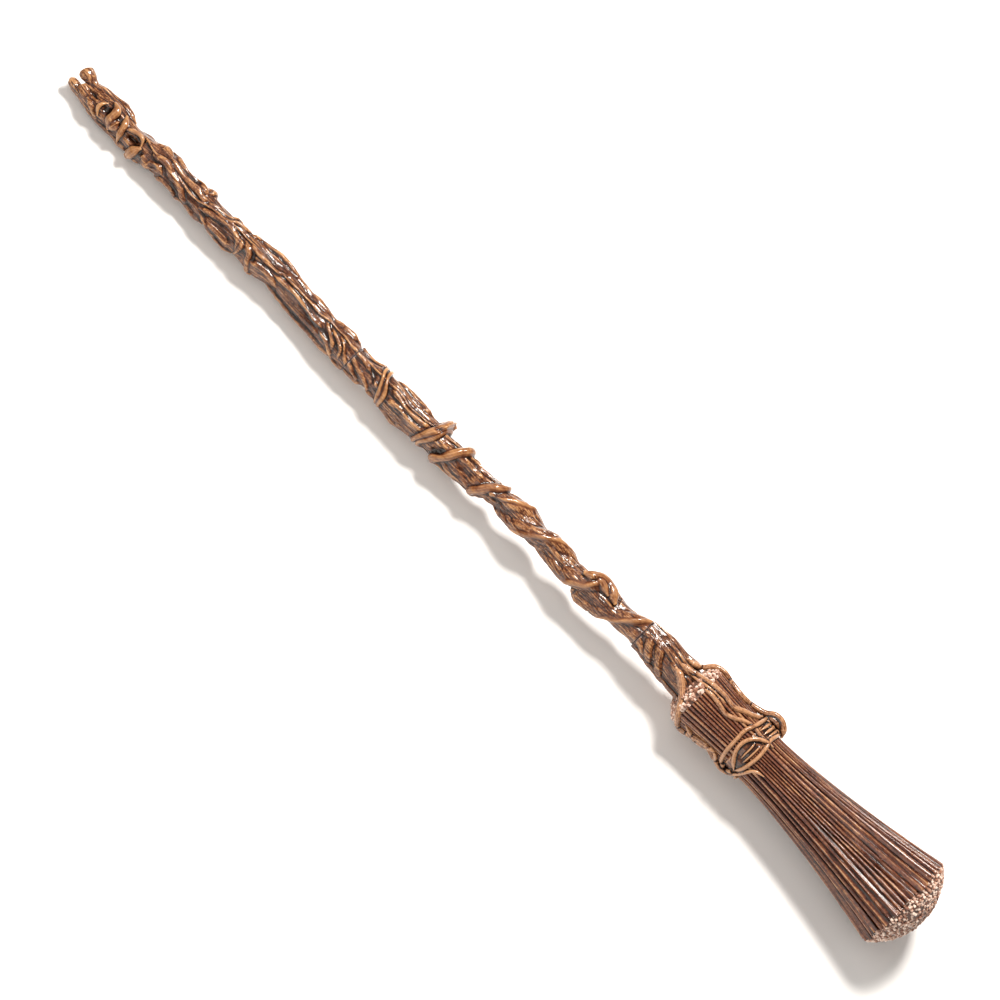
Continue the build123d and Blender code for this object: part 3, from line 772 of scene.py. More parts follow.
def vine_turn(along, slant, top, bottom, proud_top, proud_below):
    """A turn of vine round the stick that slants, and is thicker and prouder at one side."""
    rows = []
    for turn in range(-20, 381, 20):
        share = 0.5 + 0.5 * math.cos(math.radians(turn))
        rows.append((along + slant * math.cos(math.radians(turn)), turn,
                     bottom + (top - bottom) * share, proud_below + (proud_top - proud_below) * share**2))
    return wound_stem(rows)


def rope_stem(start, radius, proud, begin, end, offset=0.0):
    """One stem of the rope, which starts where the front's middle is at start."""
    rows = []
    for along in np.arange(begin, end + 1, 8.0):
        turn = 90.0 - 360.0 * (along - start) / ROPE_PITCH + offset
        ease = min(1.0, (along - begin) / 25.0 + 0.35)
        rows.append((along, turn, radius * ease, proud))
    return wound_stem(rows)


# %% [markdown]
# The middle goes through the same steps as the tip. It is cut at both seams: a sleeve's bore at the
# tip's end, and a plug root's at the head's. Its core lies deeper where the rope runs, so that the
# groove between the two stems shows.

# %% The middle length
MIDDLE_CORE = [(530, 1.6), (560, 3.8), (670, 3.8), (690, 1.0), (733, 1.4)]
MIDDLE_GRAIN = [(366, 0.4), (400, 0.4), (416, 1.1), (465, 1.2), (500, 0.6), (545, 0.7),
                (600, 0.8), (640, 1.0), (690, 0.7), (734, 0.8)]
middle_parts = [core(TIP_SEAM - RUN_PAST, HEAD_SEAM + RUN_PAST, MIDDLE_CORE)]
middle_parts += [seam_tube(TIP_SEAM - RUN_PAST, TIP_SEAM + TUBE_LONG, SLEEVE_TUBE),
                 seam_tube(HEAD_SEAM - ROOT_LONG - 2.5, HEAD_SEAM + RUN_PAST, ROOT_TUBE)]
middle_parts += front_and_back(MIDDLE_STEMS, MIDDLE_BACK)
middle_parts += [vine_turn(*row) for row in TURNS]
for start in ROPE_STARTS:
    middle_parts.append(rope_stem(start, 8.3, 1.5, 545.0, HEAD_SEAM + RUN_PAST))
    middle_parts.append(rope_stem(start, 3.2, 2.3, 552.0, HEAD_SEAM + RUN_PAST, 12.0))
middle = melt(middle_parts, "middle_stick", VOXEL, 6)
vine = mark_vines(middle)
press_hollows(middle, MIDDLE_HOLLOWS)
knead(middle)
press_grain(middle, 0.8, smooth=vine, mask=MIDDLE_GRAIN, seed=11)
keep_wall(middle, TIP_SEAM - 20.0, TIP_SEAM + WALL_LONG, SLEEVE + 1.0)
keep_wall(middle, HEAD_SEAM - ROOT_LONG - 1.5, HEAD_SEAM + 20.0, ROOT + 1.1)
cut_square(middle, TIP_SEAM, keep_after=True)
cut_square(middle, HEAD_SEAM, keep_after=False)
drill(middle, TIP_SEAM - 3.0, TIP_SEAM + SLEEVE_LONG, SLEEVE)
drill(middle, HEAD_SEAM - ROOT_LONG, HEAD_SEAM + 3.0, ROOT)
mark_relief(middle)
wear_seams(middle)
lay_down(middle, "middle", "bark", "middle_shell_front", "middle_shell_back")

# %% [markdown]
# ## The neck and the vines on the bristles
#
# Below the second seam the stems open out like roots, run over the cut bristle tops and down the
# bundle, and knot into a collar of crossing loops. It is one moulding with the neck's skin.

# %% The neck
NECK_STEMS = [  # (proud, radius or radii, [(along, across), ...])
    (0.68, (4.96, 5.27), [(726.3, 15.6), (735.5, 16.6), (753.9, 21.2), (766.8, 21.2), (780.6, 18.4),
        (794.4, 18.4), (807.3, 22.1)]),
    (1.1, 4.65, [(726.3, 11), (734.6, 10.8), (748.4, 9.2), (762.2, 8.3), (780.6, 8.3), (795.3, 11),
        (811, 14.7)]),
    (1.53, 4.96, [(749.3, 12), (753, 8.3), (757.6, 2.8), (763.1, -4.6), (774.1, -10.1), (787.9, -11.5),
        (799.9, -12.9), (811, -14.7)]),
    (1.02, 4.34, [(737.3, 8.3), (743.8, 5.5), (748.4, -2.8), (755.7, -10.1), (766.8, -13.8),
        (783.3, -14.7), (798.1, -15.6), (811, -16.6)]),
    (0.68, 3.41, [(726.3, 1.8), (737.3, -1.8), (748.4, -8.3), (761.3, -12.9), (774.1, -15.6)]),
    (0.68, 4.03, [(726.3, -7.4), (737.3, -8.3), (751.1, -12), (769.5, -13.8)]),
    (1.02, 4.65, [(768.6, 5.5), (777.8, 3.7), (788.9, 0), (799.9, -3.7), (811, -7.4)]),
    (0.68, 2.02, [(726.3, 6.4), (742.8, 7.4), (759.4, 12.9), (774.1, 13.8), (792.6, 13.8)]),
]
NECK_BACK = [  # (proud, shift, radius, [(along, across), ...])
    (0.77, 0, 4.65, [(726.3, 14.7), (746.5, 12.9), (766.8, 16.6), (788.9, 14.7), (811, 16.6)]),
    (1.02, 0, 4.96, [(726.3, 3.7), (748.4, 7.4), (770.5, 1.8), (792.6, 5.5), (811, 3.7)]),
    (0.85, 0, 4.65, [(726.3, -5.5), (748.4, -3.7), (770.5, -9.2), (792.6, -7.4), (811, -11)]),
]
neck_parts = [core(HEAD_SEAM - RUN_PAST, 812.0, [(733, 1.8), (760, 2.4)])]
neck_parts += [seam_tube(HEAD_SEAM - RUN_PAST, HEAD_SEAM + TUBE_LONG, SLEEVE_TUBE)]
neck_parts += front_and_back(NECK_STEMS, NECK_BACK)
neck = melt(neck_parts, "neck_stick", 0.6, 5)
write_marks(neck, "vine", np.zeros(len(neck.data.vertices)))      # all of the neck is bark
knead(neck)
press_grain(neck, 0.7, twist=0.4, lines=60, seed=21)
keep_wall(neck, HEAD_SEAM - 20.0, HEAD_SEAM + WALL_LONG, SLEEVE + 1.0)
cut_square(neck, HEAD_SEAM, keep_after=True)
drill(neck, HEAD_SEAM - 3.0, HEAD_SEAM + SLEEVE_LONG, SLEEVE)
mark_relief(neck)
wear_seams(neck)
lay_down(neck, "head", "bark", "neck_shell_front", "neck_shell_back")

# %% [markdown]
# The vines and the bristles share one shape, the bundle's: wide at its top, drawn in at the waist
# where it is tied, and flaring to the rim. Root stems start on the neck and end on the bundle, so
# what they lie on goes over smoothly from the one to the other.

# %% The bundle's shape
BUNDLE_START, BUNDLE_WAIST, BUNDLE_END = 812.0, 895.0, 1076.0
TOP_RADIUS, WAIST_RADIUS, RIM_RADIUS, FLARE_POWER = 31.0, 26.0, 50.0, 1.5


def bundle_radius(along):
    """The radius over the bristles."""
    along = np.asarray(along, float)
    after = np.clip((along - BUNDLE_WAIST) / (BUNDLE_END - BUNDLE_WAIST), 0, None)
    before = np.clip((BUNDLE_WAIST - along) / (BUNDLE_WAIST - BUNDLE_START), 0, None)
    return (WAIST_RADIUS + (RIM_RADIUS - WAIST_RADIUS) * after**FLARE_POWER
            + (TOP_RADIUS - WAIST_RADIUS) * before**FLARE_POWER)


def root_base(along):
    """(middle, radius) of what the root stems lie on: the neck, then the shoulder, then the bundle."""
    into = np.clip((np.asarray(along, float) - 792.0) / 20.0, 0, 1)
    into = into * into * (3 - 2 * into)
    middle = middle_of(np.minimum(along, 800.0)) * (1 - into)
    radius = radius_of(np.minimum(along, 800.0)) * (1 - into) + bundle_radius(along) * into
    return middle, radius


print("bundle from", BUNDLE_START, "to", BUNDLE_END, "mm, rim", 2 * RIM_RADIUS, "mm across")

# %% [markdown]
# A root stem is drawn like a laid stem, by along and across, on whatever lies under it, and can be
# spun round to the sides and the back. A collar turn goes all the way round, given by its angle.

# %% Stems on the bundle
def root_stem(proud, radii, places, spin=0.0):
    """A stem that runs from the neck onto the bundle, from (along, across) places, spun round it."""
    path = fair(with_radius(places, radii))
    sunk = sunk_ends(path)
    along, across, radius = path.T
    radius = radius * (0.35 + 0.65 * sunk)
    middle, base = root_base(along)
    reach = base + proud - radius * 0.6 - 2.0 * (1 - sunk)
    reach = np.maximum(reach, np.abs(across - middle) + 0.02)
    turn = np.arccos(np.clip((across - middle) / reach, -0.999, 0.999)) + math.radians(spin)
    return stem(spot(along, middle + reach * np.cos(turn), reach * np.sin(turn)), radius)


def collar_turn(proud, rows):
    """A stem all the way round the bundle, from (turn in degrees, along, radius)."""
    rows = np.array(rows, float)
    path = fair(np.column_stack([rows[:, 0] * 0.5, rows[:, 1], rows[:, 2]]))    # a degree is 0.5 mm
    turn, along, radius = np.radians(path[:, 0] / 0.5), path[:, 1], path[:, 2]
    reach = bundle_radius(along) + proud - radius * 0.6
    return stem(spot(along, reach * np.cos(turn), reach * np.sin(turn)), radius)


# %% [markdown]
# ## The collar
#
# Thick roots come down over the bundle and curl at their ends, thinner ones cross them in loops, and
# three wavy turns go all the way round to hold them together. A low web under them closes the gaps,
# so that the skin stays in one piece, as the moulding is. Lying low, the web takes the dark umber of
# the valleys, a painted shade for the gaps between the loops, where the bristles lie in shadow.

# %% The collar
ROOTS = [  # (proud, radius or radii, [(along, across), ...])
    (2.6, (2.6, 3.6), [(777.8, 17.5), (786.1, 18.4), (794.4, 22.1), (801.8, 30.4), (809.1, 32.7),
        (823.8, 30.4), (843.2, 28.5), (857, 30.4), (865.3, 33.1), (871.7, 37.7), (880, 38.2),
        (887.4, 33.1), (891, 26.7)]),
    (2.2, 2.7, [(776, 10.1), (787.9, 12), (799, 14.7), (809.1, 16.6), (825.7, 17.5), (841.3, 16.6),
        (847.8, 19.8), (857, 23), (865.3, 27.6), (871.7, 33.1), (878.2, 36.8)]),
    (1.3, 1.5, [(788.9, 9.2), (799.9, 11), (811, 12.9), (825.7, 13.3), (834.9, 13.8)]),
    (2, 2.2, [(809.1, 9.2), (816.5, 10.1), (827.5, 8.7), (839.5, 7), (847.8, 10.1), (857, 14.7),
        (865.3, 16.1), (875.4, 14.7), (889.2, 15.2)]),
    (3.4, 2.1, [(875.4, 37.7), (870.8, 35), (868, 27.6), (865.3, 18.4), (861.6, 8.7), (861.6, -1.8),
        (862.1, -11), (863.4, -20.3), (866.2, -26.7), (870.8, -31.3)]),
    (3.8, 2.1, [(891, 15.6), (884.6, 15.2), (878.2, 12.9), (871.7, 7.4), (868, 0), (868.6, -10.1),
        (873.6, -18.4), (880.9, -24.9)]),
    (3.4, 2, [(889.2, 33.1), (886.4, 25.8), (884.6, 19), (886.4, 10.4), (887.4, 0), (886.4, -10.1),
        (884.6, -18.4), (880, -25.8)]),
    (3.6, (2.4, 1.399), [(853.3, -24.9), (858.4, -26.7), (863.4, -30.4), (870.2, -32.2), (878.8, -30.4),
        (884.6, -25.8), (888.7, -19.3), (893.8, -12), (903.9, -9.2)]),
    (4.5, 3.4, [(864.3, 30.4), (871.7, 33.1), (878.2, 34.1), (885.5, 30.4)]),
    (2.8, 1.7, [(871.7, 17.5), (874, 27.6), (877.2, 36.8)]),
    (2.8, 1.7, [(876.3, 16.6), (878.6, 27.6), (880.9, 36.8)]),
    (2.8, 1.6, [(880.9, 16.6), (882.8, 25.8), (884.6, 34.1)]),
    (1.9, 1, [(875.4, 10.1), (876.8, 1.8), (876.8, -7.4), (877.2, -15.6)]),
    (1.9, 1, [(881.4, 11), (881.8, 1.8), (881.4, -8.3), (880.9, -17.5)]),
    (2.8, (3.6, 3), [(776, 4.6), (783.3, 2.8), (791.6, -2.8), (800.4, -12), (807.3, -23),
        (813.7, -30.4), (819.2, -32.2), (825.7, -30.8), (834.9, -28.1), (843.2, -26.7),
        (853.3, -24.9)]),
    (2.8, 2.2, [(820.2, -26.7), (827.5, -28.5), (835.8, -30.4), (845, -28.5), (851.5, -25.8),
        (859.7, -24.9)]),
]
ROOTS_BACK = [  # (proud, spin, radius, [(along, across), ...])
    (2.4, 195, 3, [(776, 14.7), (790.7, 16.6), (803.6, 27.6), (814.6, 30.4), (829.4, 28.5),
        (847.8, 27.6), (862.5, 30.4), (875.4, 28.5)]),
    (2.4, 165, 3, [(776, 3.7), (790.7, 5.5), (803.6, 11), (820.2, 12.9), (838.6, 9.2), (857, 14.7),
        (875.4, 11)]),
    (2.4, 215, 2.8, [(776, 5.5), (792.6, 1.8), (805.4, 5.5), (822, 1.8), (840.4, 7.4), (858.8, 1.8),
        (875.4, 5.5)]),
    (2.4, 225, 3, [(776, -3.7), (792.6, -7.4), (805.4, -11), (822, -11), (840.4, -12.9),
        (853.3, -13.8)]),
]
COLLAR_TURNS = [  # (proud, [(turn in degrees, along, radius), ...])
    (3.4, [(160, 869, 2.6), (200, 874, 2.6), (240, 880, 2.6), (280, 874, 2.6), (320, 868, 2.6), (375,
        872, 2.6)]),
    (3.4, [(160, 880, 2.6), (200, 872, 2.4), (240, 868, 2.4), (280, 876, 2.6), (320, 882, 2.6), (375,
        884, 2.6)]),
    (3.2, [(160, 886, 2.2), (210, 885, 2.4), (250, 876, 2.6), (300, 867, 2.4), (340, 875, 2.4), (375,
        879, 2.2)]),
]
collar_parts = [root_stem(*row) for row in ROOTS]
collar_parts += [root_stem(proud, radii, places, spin) for proud, spin, radii, places in ROOTS_BACK]
collar_parts += [collar_turn(*row) for row in COLLAR_TURNS]
# the web: a low sheet under the loops that takes the dark valley umber, painted shade for the gaps
shadow_web = np.array([867.5, 870.0, 883.0, 885.5])
shadow_web_proud = np.array([-1.5, 0.9, 0.9, -1.5])
collar_parts.append(stem(spot(shadow_web, 0.0, 0.0), bundle_radius(shadow_web) + shadow_web_proud, "shadow_web", 12))
collar = melt(collar_parts, "vine_collar", 0.64, 2)
mark_relief(collar, rounds=(3, 20), scales=(0.1, 0.7))
lay_down(collar, "head", "vines", "vine_cage_front", "vine_cage_back")

# %% [markdown]
# ## The bristles
#
# Each bristle is a straight rod that widens towards the rim, and they differ in width and height. The
# bundle is a flat grid of faces rolled up round the axis, with every column's height set by the rods.

# %% The rods
RODS = 50              # rods round the rim
ROUND, RINGS = 1000, 84          # faces round the bundle and along it
rng = np.random.default_rng(7)


def rod_edges(count):
    """Where each rod begins round the bundle, from 0 to 1, with uneven widths."""
    widths = rng.uniform(0.55, 1.45, count)
    return np.concatenate([[0], np.cumsum(widths) / widths.sum()])


edges = rod_edges(RODS)
rod_height = rng.uniform(-0.9, 0.7, RODS)
rod_split = rng.uniform(0.3, 0.7, RODS)
rod_splits = rng.uniform(0, 1, RODS) < 0.62
rod_end = rng.uniform(-2.6, 1.6, RODS)
rod_tone = rng.uniform(0.25, 1.0, RODS)


def rod_surface(turn, share):
    """Height above the bundle's outline and the high-edge value, round it and along it."""
    wobble = 0.0022 * np.sin(share * 5.0 + 40 * turn) + 0.0012 * np.sin(share * 13.0 + 90 * turn)
    place = (turn + wobble) % 1.0
    k = np.clip(np.searchsorted(edges, place, side="right") - 1, 0, RODS - 1)
    inside = np.abs(2 * (place - edges[k]) / (edges[k + 1] - edges[k]) - 1)
    halves = np.abs(2 * ((1 - inside) % 1.0) - 1)
    sharp = np.clip((share - 0.28) * 4, 0, 1)                # rods above the collar, facets below
    split = np.where(rod_splits[k], np.clip((share - 0.35 - rod_split[k] * 0.3) * 3, 0, 1), 0.0)
    bump = (1 - inside**2.4) * (1 - sharp) + (1 - inside**1.9) * sharp
    bump = bump * (1 - 0.25 * split) + 0.3 * split * halves**3
    height = (1.6 + 1.3 * share) * (bump - 0.8) + rod_height[k] * (0.5 + 0.9 * share)
    crest = np.exp(-((inside / (0.42 - 0.24 * sharp)) ** 2)) + 0.5 * split * halves**8
    return height, np.clip(crest, 0, 1), inside, k


rod_widths = np.diff(edges) * 2 * math.pi * RIM_RADIUS
print(RODS, "rods from", round(rod_widths.min(), 1), "to", round(rod_widths.max(), 1), "mm wide at the rim")

# %% [markdown]
# The grid's long side becomes the turn round the axis, and its two edges meet and are merged. High
# edges are stored for the paint as on the other skins, here straight from the rods' own section.

# %% Rolling up the bundle
bpy.ops.mesh.primitive_grid_add(x_subdivisions=RINGS, y_subdivisions=ROUND, size=2.0)
bundle = named("bristle_bundle")
flat = points_of(bundle)
share = (flat[:, 0] + 1) / 2
turn = (flat[:, 1] + 1) / 2
height, crest, inside, k = rod_surface(turn, share)
along = BUNDLE_START - 1.5 + (BUNDLE_END - BUNDLE_START + 1.5) * share
along += rod_end[k] * np.clip(share * 8 - 7, 0, 1)
reach = bundle_radius(along) + height
angle = 2 * math.pi * turn
move_points(bundle, spot(along, reach * np.cos(angle), reach * np.sin(angle)))
write_marks(bundle, "fine_relief", 0.1 + 0.8 * crest * rod_tone[k])
write_marks(bundle, "broad_relief", 0.75 - 0.6 * inside**4)
only(bundle)
bpy.ops.object.mode_set(mode="EDIT")
bpy.ops.mesh.select_all(action="SELECT")
bpy.ops.mesh.remove_doubles(threshold=0.01 * MM)
bpy.ops.object.mode_set(mode="OBJECT")


# %% [markdown]
# Both ends are open edges. They are picked out by place, drawn in and filled, which leaves a flat
# ledge for the cut ends to stand on.

# %% Closing the ends
def close_end(piece, along, reach_in, step):
    """Draws the open edge nearest to a place in towards the axis and closes it with a flat face."""
    only(piece)
    bpy.ops.object.mode_set(mode="EDIT")
    bpy.ops.mesh.select_mode(type="EDGE")
    bpy.ops.mesh.select_all(action="DESELECT")
    bpy.ops.mesh.select_non_manifold()
    bpy.ops.object.mode_set(mode="OBJECT")
    mesh = piece.data
    for vertex in mesh.vertices:
        vertex.select = vertex.select and abs(vertex.co.x / MM - along) < 12
    for edge in mesh.edges:
        edge.select = edge.select and abs(mesh.vertices[edge.vertices[0]].co.x / MM - along) < 12
    bpy.ops.object.mode_set(mode="EDIT")
    bpy.ops.mesh.extrude_edges_move(TRANSFORM_OT_translate={"value": (step * MM, 0, 0)})
    bpy.ops.transform.resize(value=(1, reach_in, reach_in), center_override=(along * MM, 0, 0))
    bpy.ops.mesh.edge_face_add()
    bpy.ops.object.mode_set(mode="OBJECT")


close_end(bundle, BUNDLE_START, 0.55, 0.5)
close_end(bundle, BUNDLE_END, 0.8, -2.0)
only(bundle)
bpy.ops.object.mode_set(mode="EDIT")
bpy.ops.mesh.select_all(action="SELECT")
bpy.ops.mesh.normals_make_consistent(inside=False)
bpy.ops.object.mode_set(mode="OBJECT")
lay_down(bundle, "head", "bristles", "bristle_shell_front", "bristle_shell_back")

# %% [markdown]
# ## Cut bristle ends
#
# At the foot and round the neck the rods are cut off, and the cuts show as pale specks. Each is a short
# stud with its rim rounded off, standing on a dome. One stud is modelled and copied; the copies follow
# a sunflower's spiral, which packs them evenly, and are nudged so that the order doesn't show.

# %% Studs on a dome
def stud(radius, height):
    """One cut end: a short seven-sided rod with its rim drawn in and raised."""
    bpy.ops.mesh.primitive_cylinder_add(vertices=7, radius=radius * MM, depth=height * MM,
                                        location=(0, 0, 0))
    piece = named("stud")
    only(piece)
    bpy.ops.object.mode_set(mode="EDIT")
    bpy.ops.mesh.select_mode(type="FACE")
    bpy.ops.mesh.select_all(action="DESELECT")
    bpy.ops.object.mode_set(mode="OBJECT")
    for face in piece.data.polygons:
        face.select = face.normal.z > 0.9
    bpy.ops.object.mode_set(mode="EDIT")
    bpy.ops.mesh.inset(thickness=radius * 0.3 * MM)
    bpy.ops.transform.translate(value=(0, 0, radius * 0.22 * MM))
    bpy.ops.object.mode_set(mode="OBJECT")
    return piece


def scatter_studs(model, places, directions, sizes, name):
    """Copies of one stud at places, pointing along directions, as one mesh with a shade for each."""
    points = points_of(model)
    faces = [tuple(face.vertices) for face in model.data.polygons]
    all_points, all_faces, shades = [], [], []
    shade_rng = np.random.default_rng(5)
    for place, direction, size in zip(places, directions, sizes):
        turned = Vector(direction).to_track_quat("Z", "Y").to_matrix()
        start = len(all_points) * len(points)
        all_points.append(points @ np.array(turned).T * size + place)
        all_faces += [tuple(start + i for i in face) for face in faces]
        shades += [shade_rng.uniform()] * len(points)
    mesh = bpy.data.meshes.new(name)
    mesh.from_pydata(np.concatenate(all_points).tolist(), [], all_faces)
    piece = bpy.data.objects.new(name, mesh)
    write_marks(piece, "shade", shades)
    bpy.context.scene.collection.objects.link(piece)
    bpy.data.objects.remove(model)
    return piece


# %% [markdown]
# At the foot the studs stand on a shallow ball, whose radius follows from its rim and its crown. At
# the neck they stand on a sloping ring and point back towards the tip.

# %% Cut ends at the foot and at the neck
DOME_RIM, DOME_CROWN = 47.2, 1097.8
dome_height = DOME_CROWN - BUNDLE_END
dome_ball = (DOME_RIM**2 + dome_height**2) / (2 * dome_height)
count = 1500
order = np.arange(count) + 0.5
golden = math.pi * (3 - math.sqrt(5))
reach = (DOME_RIM + 0.6) * np.sqrt(order / count) + rng.normal(0, 0.35, count)
angle = order * golden + rng.normal(0, 0.05, count)
depth = np.sqrt(np.maximum(dome_ball**2 - reach**2, 0))
along = DOME_CROWN - dome_ball + depth + rng.uniform(-1.2, 0.5, count)
places = spot(along, reach * np.cos(angle), reach * np.sin(angle))
directions = spot(np.full(count, 2.2), reach * np.cos(angle) / dome_ball,
                  reach * np.sin(angle) / dome_ball)
foot = scatter_studs(stud(1.32, 6.0), places, directions, rng.uniform(0.72, 1.12, count), "cut_ends_foot")
lay_down(foot, "head", "cut_ends")

count = 520
RING_IN, RING_OUT = 17.0, 29.5
order = np.arange(count) + 0.5
reach = RING_IN + (RING_OUT - RING_IN) * np.sqrt(rng.uniform(0, 1, count))
angle = order * golden
along = 799.5 + 11.0 * ((reach - RING_IN) / (RING_OUT - RING_IN)) ** 1.6 + rng.uniform(-1.0, 1.0, count)
places = spot(along, reach * np.cos(angle), reach * np.sin(angle))
directions = spot(np.full(count, -1.0), 0.7 * np.cos(angle), 0.7 * np.sin(angle))
top = scatter_studs(stud(1.15, 6.0), places, directions, rng.uniform(0.8, 1.25, count), "cut_ends_top")
lay_down(top, "head", "cut_ends")

# %% [markdown]
# ## Paint
#
# All of it is the same ABS-like plastic under paint. Dark umber went on first and sits in the valleys,
# a mid brown was brushed over the broad forms, and bronze was dragged over the high edges with a nearly
# dry brush, so it breaks up where the surface dips. Clear gloss lacquer on top gives hard highlights.

# %% Paint helpers
def linear(code):
    """An sRGB hex value as a linear colour."""
    values = [int(code[k:k + 2], 16) / 255 for k in (1, 3, 5)]
    return [*[v / 12.92 if v <= 0.04045 else ((v + 0.055) / 1.055) ** 2.4 for v in values], 1.0]


def new_material(name):
    """An empty material with its shader, as (material, tree, shader)."""
    material = bpy.data.materials.new(name)
    material.use_nodes = True
    tree = material.node_tree
    shader = tree.nodes["Principled BSDF"]
    return material, tree, shader


def add(tree, kind, links=None, inputs=None, stops=None, **settings):
    """Adds a node with its settings, its inputs' values, its links and a ramp's (place, hex) stops."""
    node = tree.nodes.new(kind)
    for key, value in settings.items():
        setattr(node, key, value)
    for socket, value in (inputs or {}).items():
        node.inputs[socket].default_value = value
    for socket, source in (links or {}).items():
        tree.links.new(source, node.inputs[socket])
    if stops:
        elements = node.color_ramp.elements
        while len(elements) < len(stops):
            elements.new(0.5)
        for element, (place, code) in zip(elements, stops):
            element.position = place
            element.color = linear(code)
    return node


print("umber is", [round(v, 3) for v in linear("#472211")[:3]], "in linear colour")

# %% [markdown]
# ## Dry-brushed plastic
#
# Moulded ABS takes three coats. One number says how much brush a place has caught: its relief, plus
# noise that breaks the coats up, and a colour ramp turns that number to paint. The noise on Object
# coordinates counts in metres, so a scale of 55 gives patches about 1 / 55 m = 18 mm wide, where the
# painter's hand pressed harder. Vines were wiped smooth before painting, so their noise is calmer. The
# clear coat is a varnish, which gives sharp small highlights over a rougher brown.

# %% Dry-brushed plastic
PATCHES = 55.0         # per metre: 18 mm, the width of a flat brush
STREAKS = 90.0         # per metre, before each paint's own stretch: (0.5, 6, 6) is 22 by 1.9 mm
SPECKS = 520.0         # per metre: 1.9 mm; the real ones are about 0.5 mm, drawn coarser to show
BARE_GREY = "#5d616a"                  # plastic with the paint rubbed off
JOINT_DARK = "#241713"                 # the line where two lengths meet
STOPS = (0.20, 0.43, 0.62, 0.92)       # where on the ramp each coat is at its purest


def dry_brushed(name, coats, gloss, grain=(0.5, 6.0, 6.0), fine_weight=0.5, rough=0.6, streaky=1.25):
    """Painted plastic: coats are its colours from the valleys to the high edges."""
    material, tree, shader = new_material(name)
    place = add(tree, "ShaderNodeTexCoord").outputs["Object"]
    stretched = add(tree, "ShaderNodeMapping", {"Vector": place}, inputs={"Scale": grain}).outputs["Vector"]
    streaks = add(tree, "ShaderNodeTexNoise", {"Vector": stretched},
                  inputs={"Scale": STREAKS, "Detail": 5.0, "Roughness": 0.62}).outputs["Fac"]
    smooth = add(tree, "ShaderNodeAttribute", attribute_name="vine").outputs["Fac"]
    calm = add(tree, "ShaderNodeMath", {0: smooth}, operation="MULTIPLY", inputs={1: 0.8}).outputs[0]
    streaks = add(tree, "ShaderNodeMix", {"Factor": calm, 2: streaks}, inputs={3: 0.5}).outputs[0]
    patches = add(tree, "ShaderNodeTexNoise", {"Vector": place},
                  inputs={"Scale": PATCHES, "Detail": 3.0, "Roughness": 0.55}).outputs["Fac"]
    specks = add(tree, "ShaderNodeTexNoise", {"Vector": place},
                 inputs={"Scale": SPECKS, "Detail": 3.0, "Roughness": 0.7}).outputs["Fac"]
    specks = add(tree, "ShaderNodeMix", {"Factor": calm, 2: specks}, inputs={3: 0.5}).outputs[0]
    fine = add(tree, "ShaderNodeAttribute", attribute_name="fine_relief").outputs["Fac"]
    broad = add(tree, "ShaderNodeAttribute", attribute_name="broad_relief").outputs["Fac"]
    mix = add(tree, "ShaderNodeMath", {0: fine}, operation="MULTIPLY_ADD",
              inputs={1: fine_weight, 2: -fine_weight / 2}).outputs[0]
    for source, weight in ((broad, 0.6), (streaks, streaky), (patches, 0.45), (specks, 0.85)):
        level = add(tree, "ShaderNodeMath", {0: source}, operation="MULTIPLY_ADD",
                    inputs={1: weight, 2: 0.125 - weight / 2}).outputs[0]
        mix = add(tree, "ShaderNodeMath", {0: mix, 1: level}, operation="ADD").outputs[0]
    mix = add(tree, "ShaderNodeMath", {0: smooth, 2: mix}, operation="MULTIPLY_ADD",
              inputs={1: 0.04}).outputs[0]
    colour = add(tree, "ShaderNodeValToRGB", {"Fac": mix},
                 stops=list(zip(STOPS, coats))).outputs["Color"]
    # paint rubs off to grey plastic at the seams, and the joint itself stays dark
    seam = add(tree, "ShaderNodeAttribute", attribute_name="seam_wear").outputs["Fac"]
    worn = add(tree, "ShaderNodeMath", {0: seam, 1: patches}, operation="MULTIPLY").outputs[0]
    worn = add(tree, "ShaderNodeMath", {0: worn}, operation="MULTIPLY", use_clamp=True,
               inputs={1: 1.1}).outputs[0]
    colour = add(tree, "ShaderNodeMix", {"Factor": worn, 6: colour}, data_type="RGBA",
                 inputs={7: linear(BARE_GREY)}).outputs[2]
    joint = add(tree, "ShaderNodeMapRange", {"Value": seam},
                inputs={"From Min": 0.7, "From Max": 0.98}).outputs["Result"]
    colour = add(tree, "ShaderNodeMix", {"Factor": joint, 6: colour}, data_type="RGBA",
                 inputs={7: linear(JOINT_DARK)}).outputs[2]
    tree.links.new(colour, shader.inputs["Base Color"])
    dull = add(tree, "ShaderNodeMath", {0: patches}, operation="MULTIPLY_ADD", inputs={1: 0.4, 2: 0.12})
    tree.links.new(dull.outputs[0], shader.inputs["Roughness"])
    height = add(tree, "ShaderNodeMath", {0: streaks, 1: specks}, operation="ADD").outputs[0]
    bump = add(tree, "ShaderNodeBump", {"Height": height}, inputs={"Strength": rough, "Distance": 0.0011})
    tree.links.new(bump.outputs["Normal"], shader.inputs["Normal"])
    # varnish has an IOR near 1.5; a little less keeps it from washing out the brown under it
    shader.inputs["Coat Weight"].default_value = gloss
    shader.inputs["Coat Roughness"].default_value = 0.13
    shader.inputs["Coat IOR"].default_value = 1.43
    shader.inputs["Specular IOR Level"].default_value = 0.12
    return material


# %% [markdown]
# The bark is the roughest. Its streaks are 1000 / (90 x 6) = 1.9 mm wide and 22 mm long, like fibres
# of wood. The vines' noise is nearly round, 5.6 by 2.8 mm, since they are smooth. The bristles'
# streaks run 93 mm along and 2.8 mm across, as the brush did.

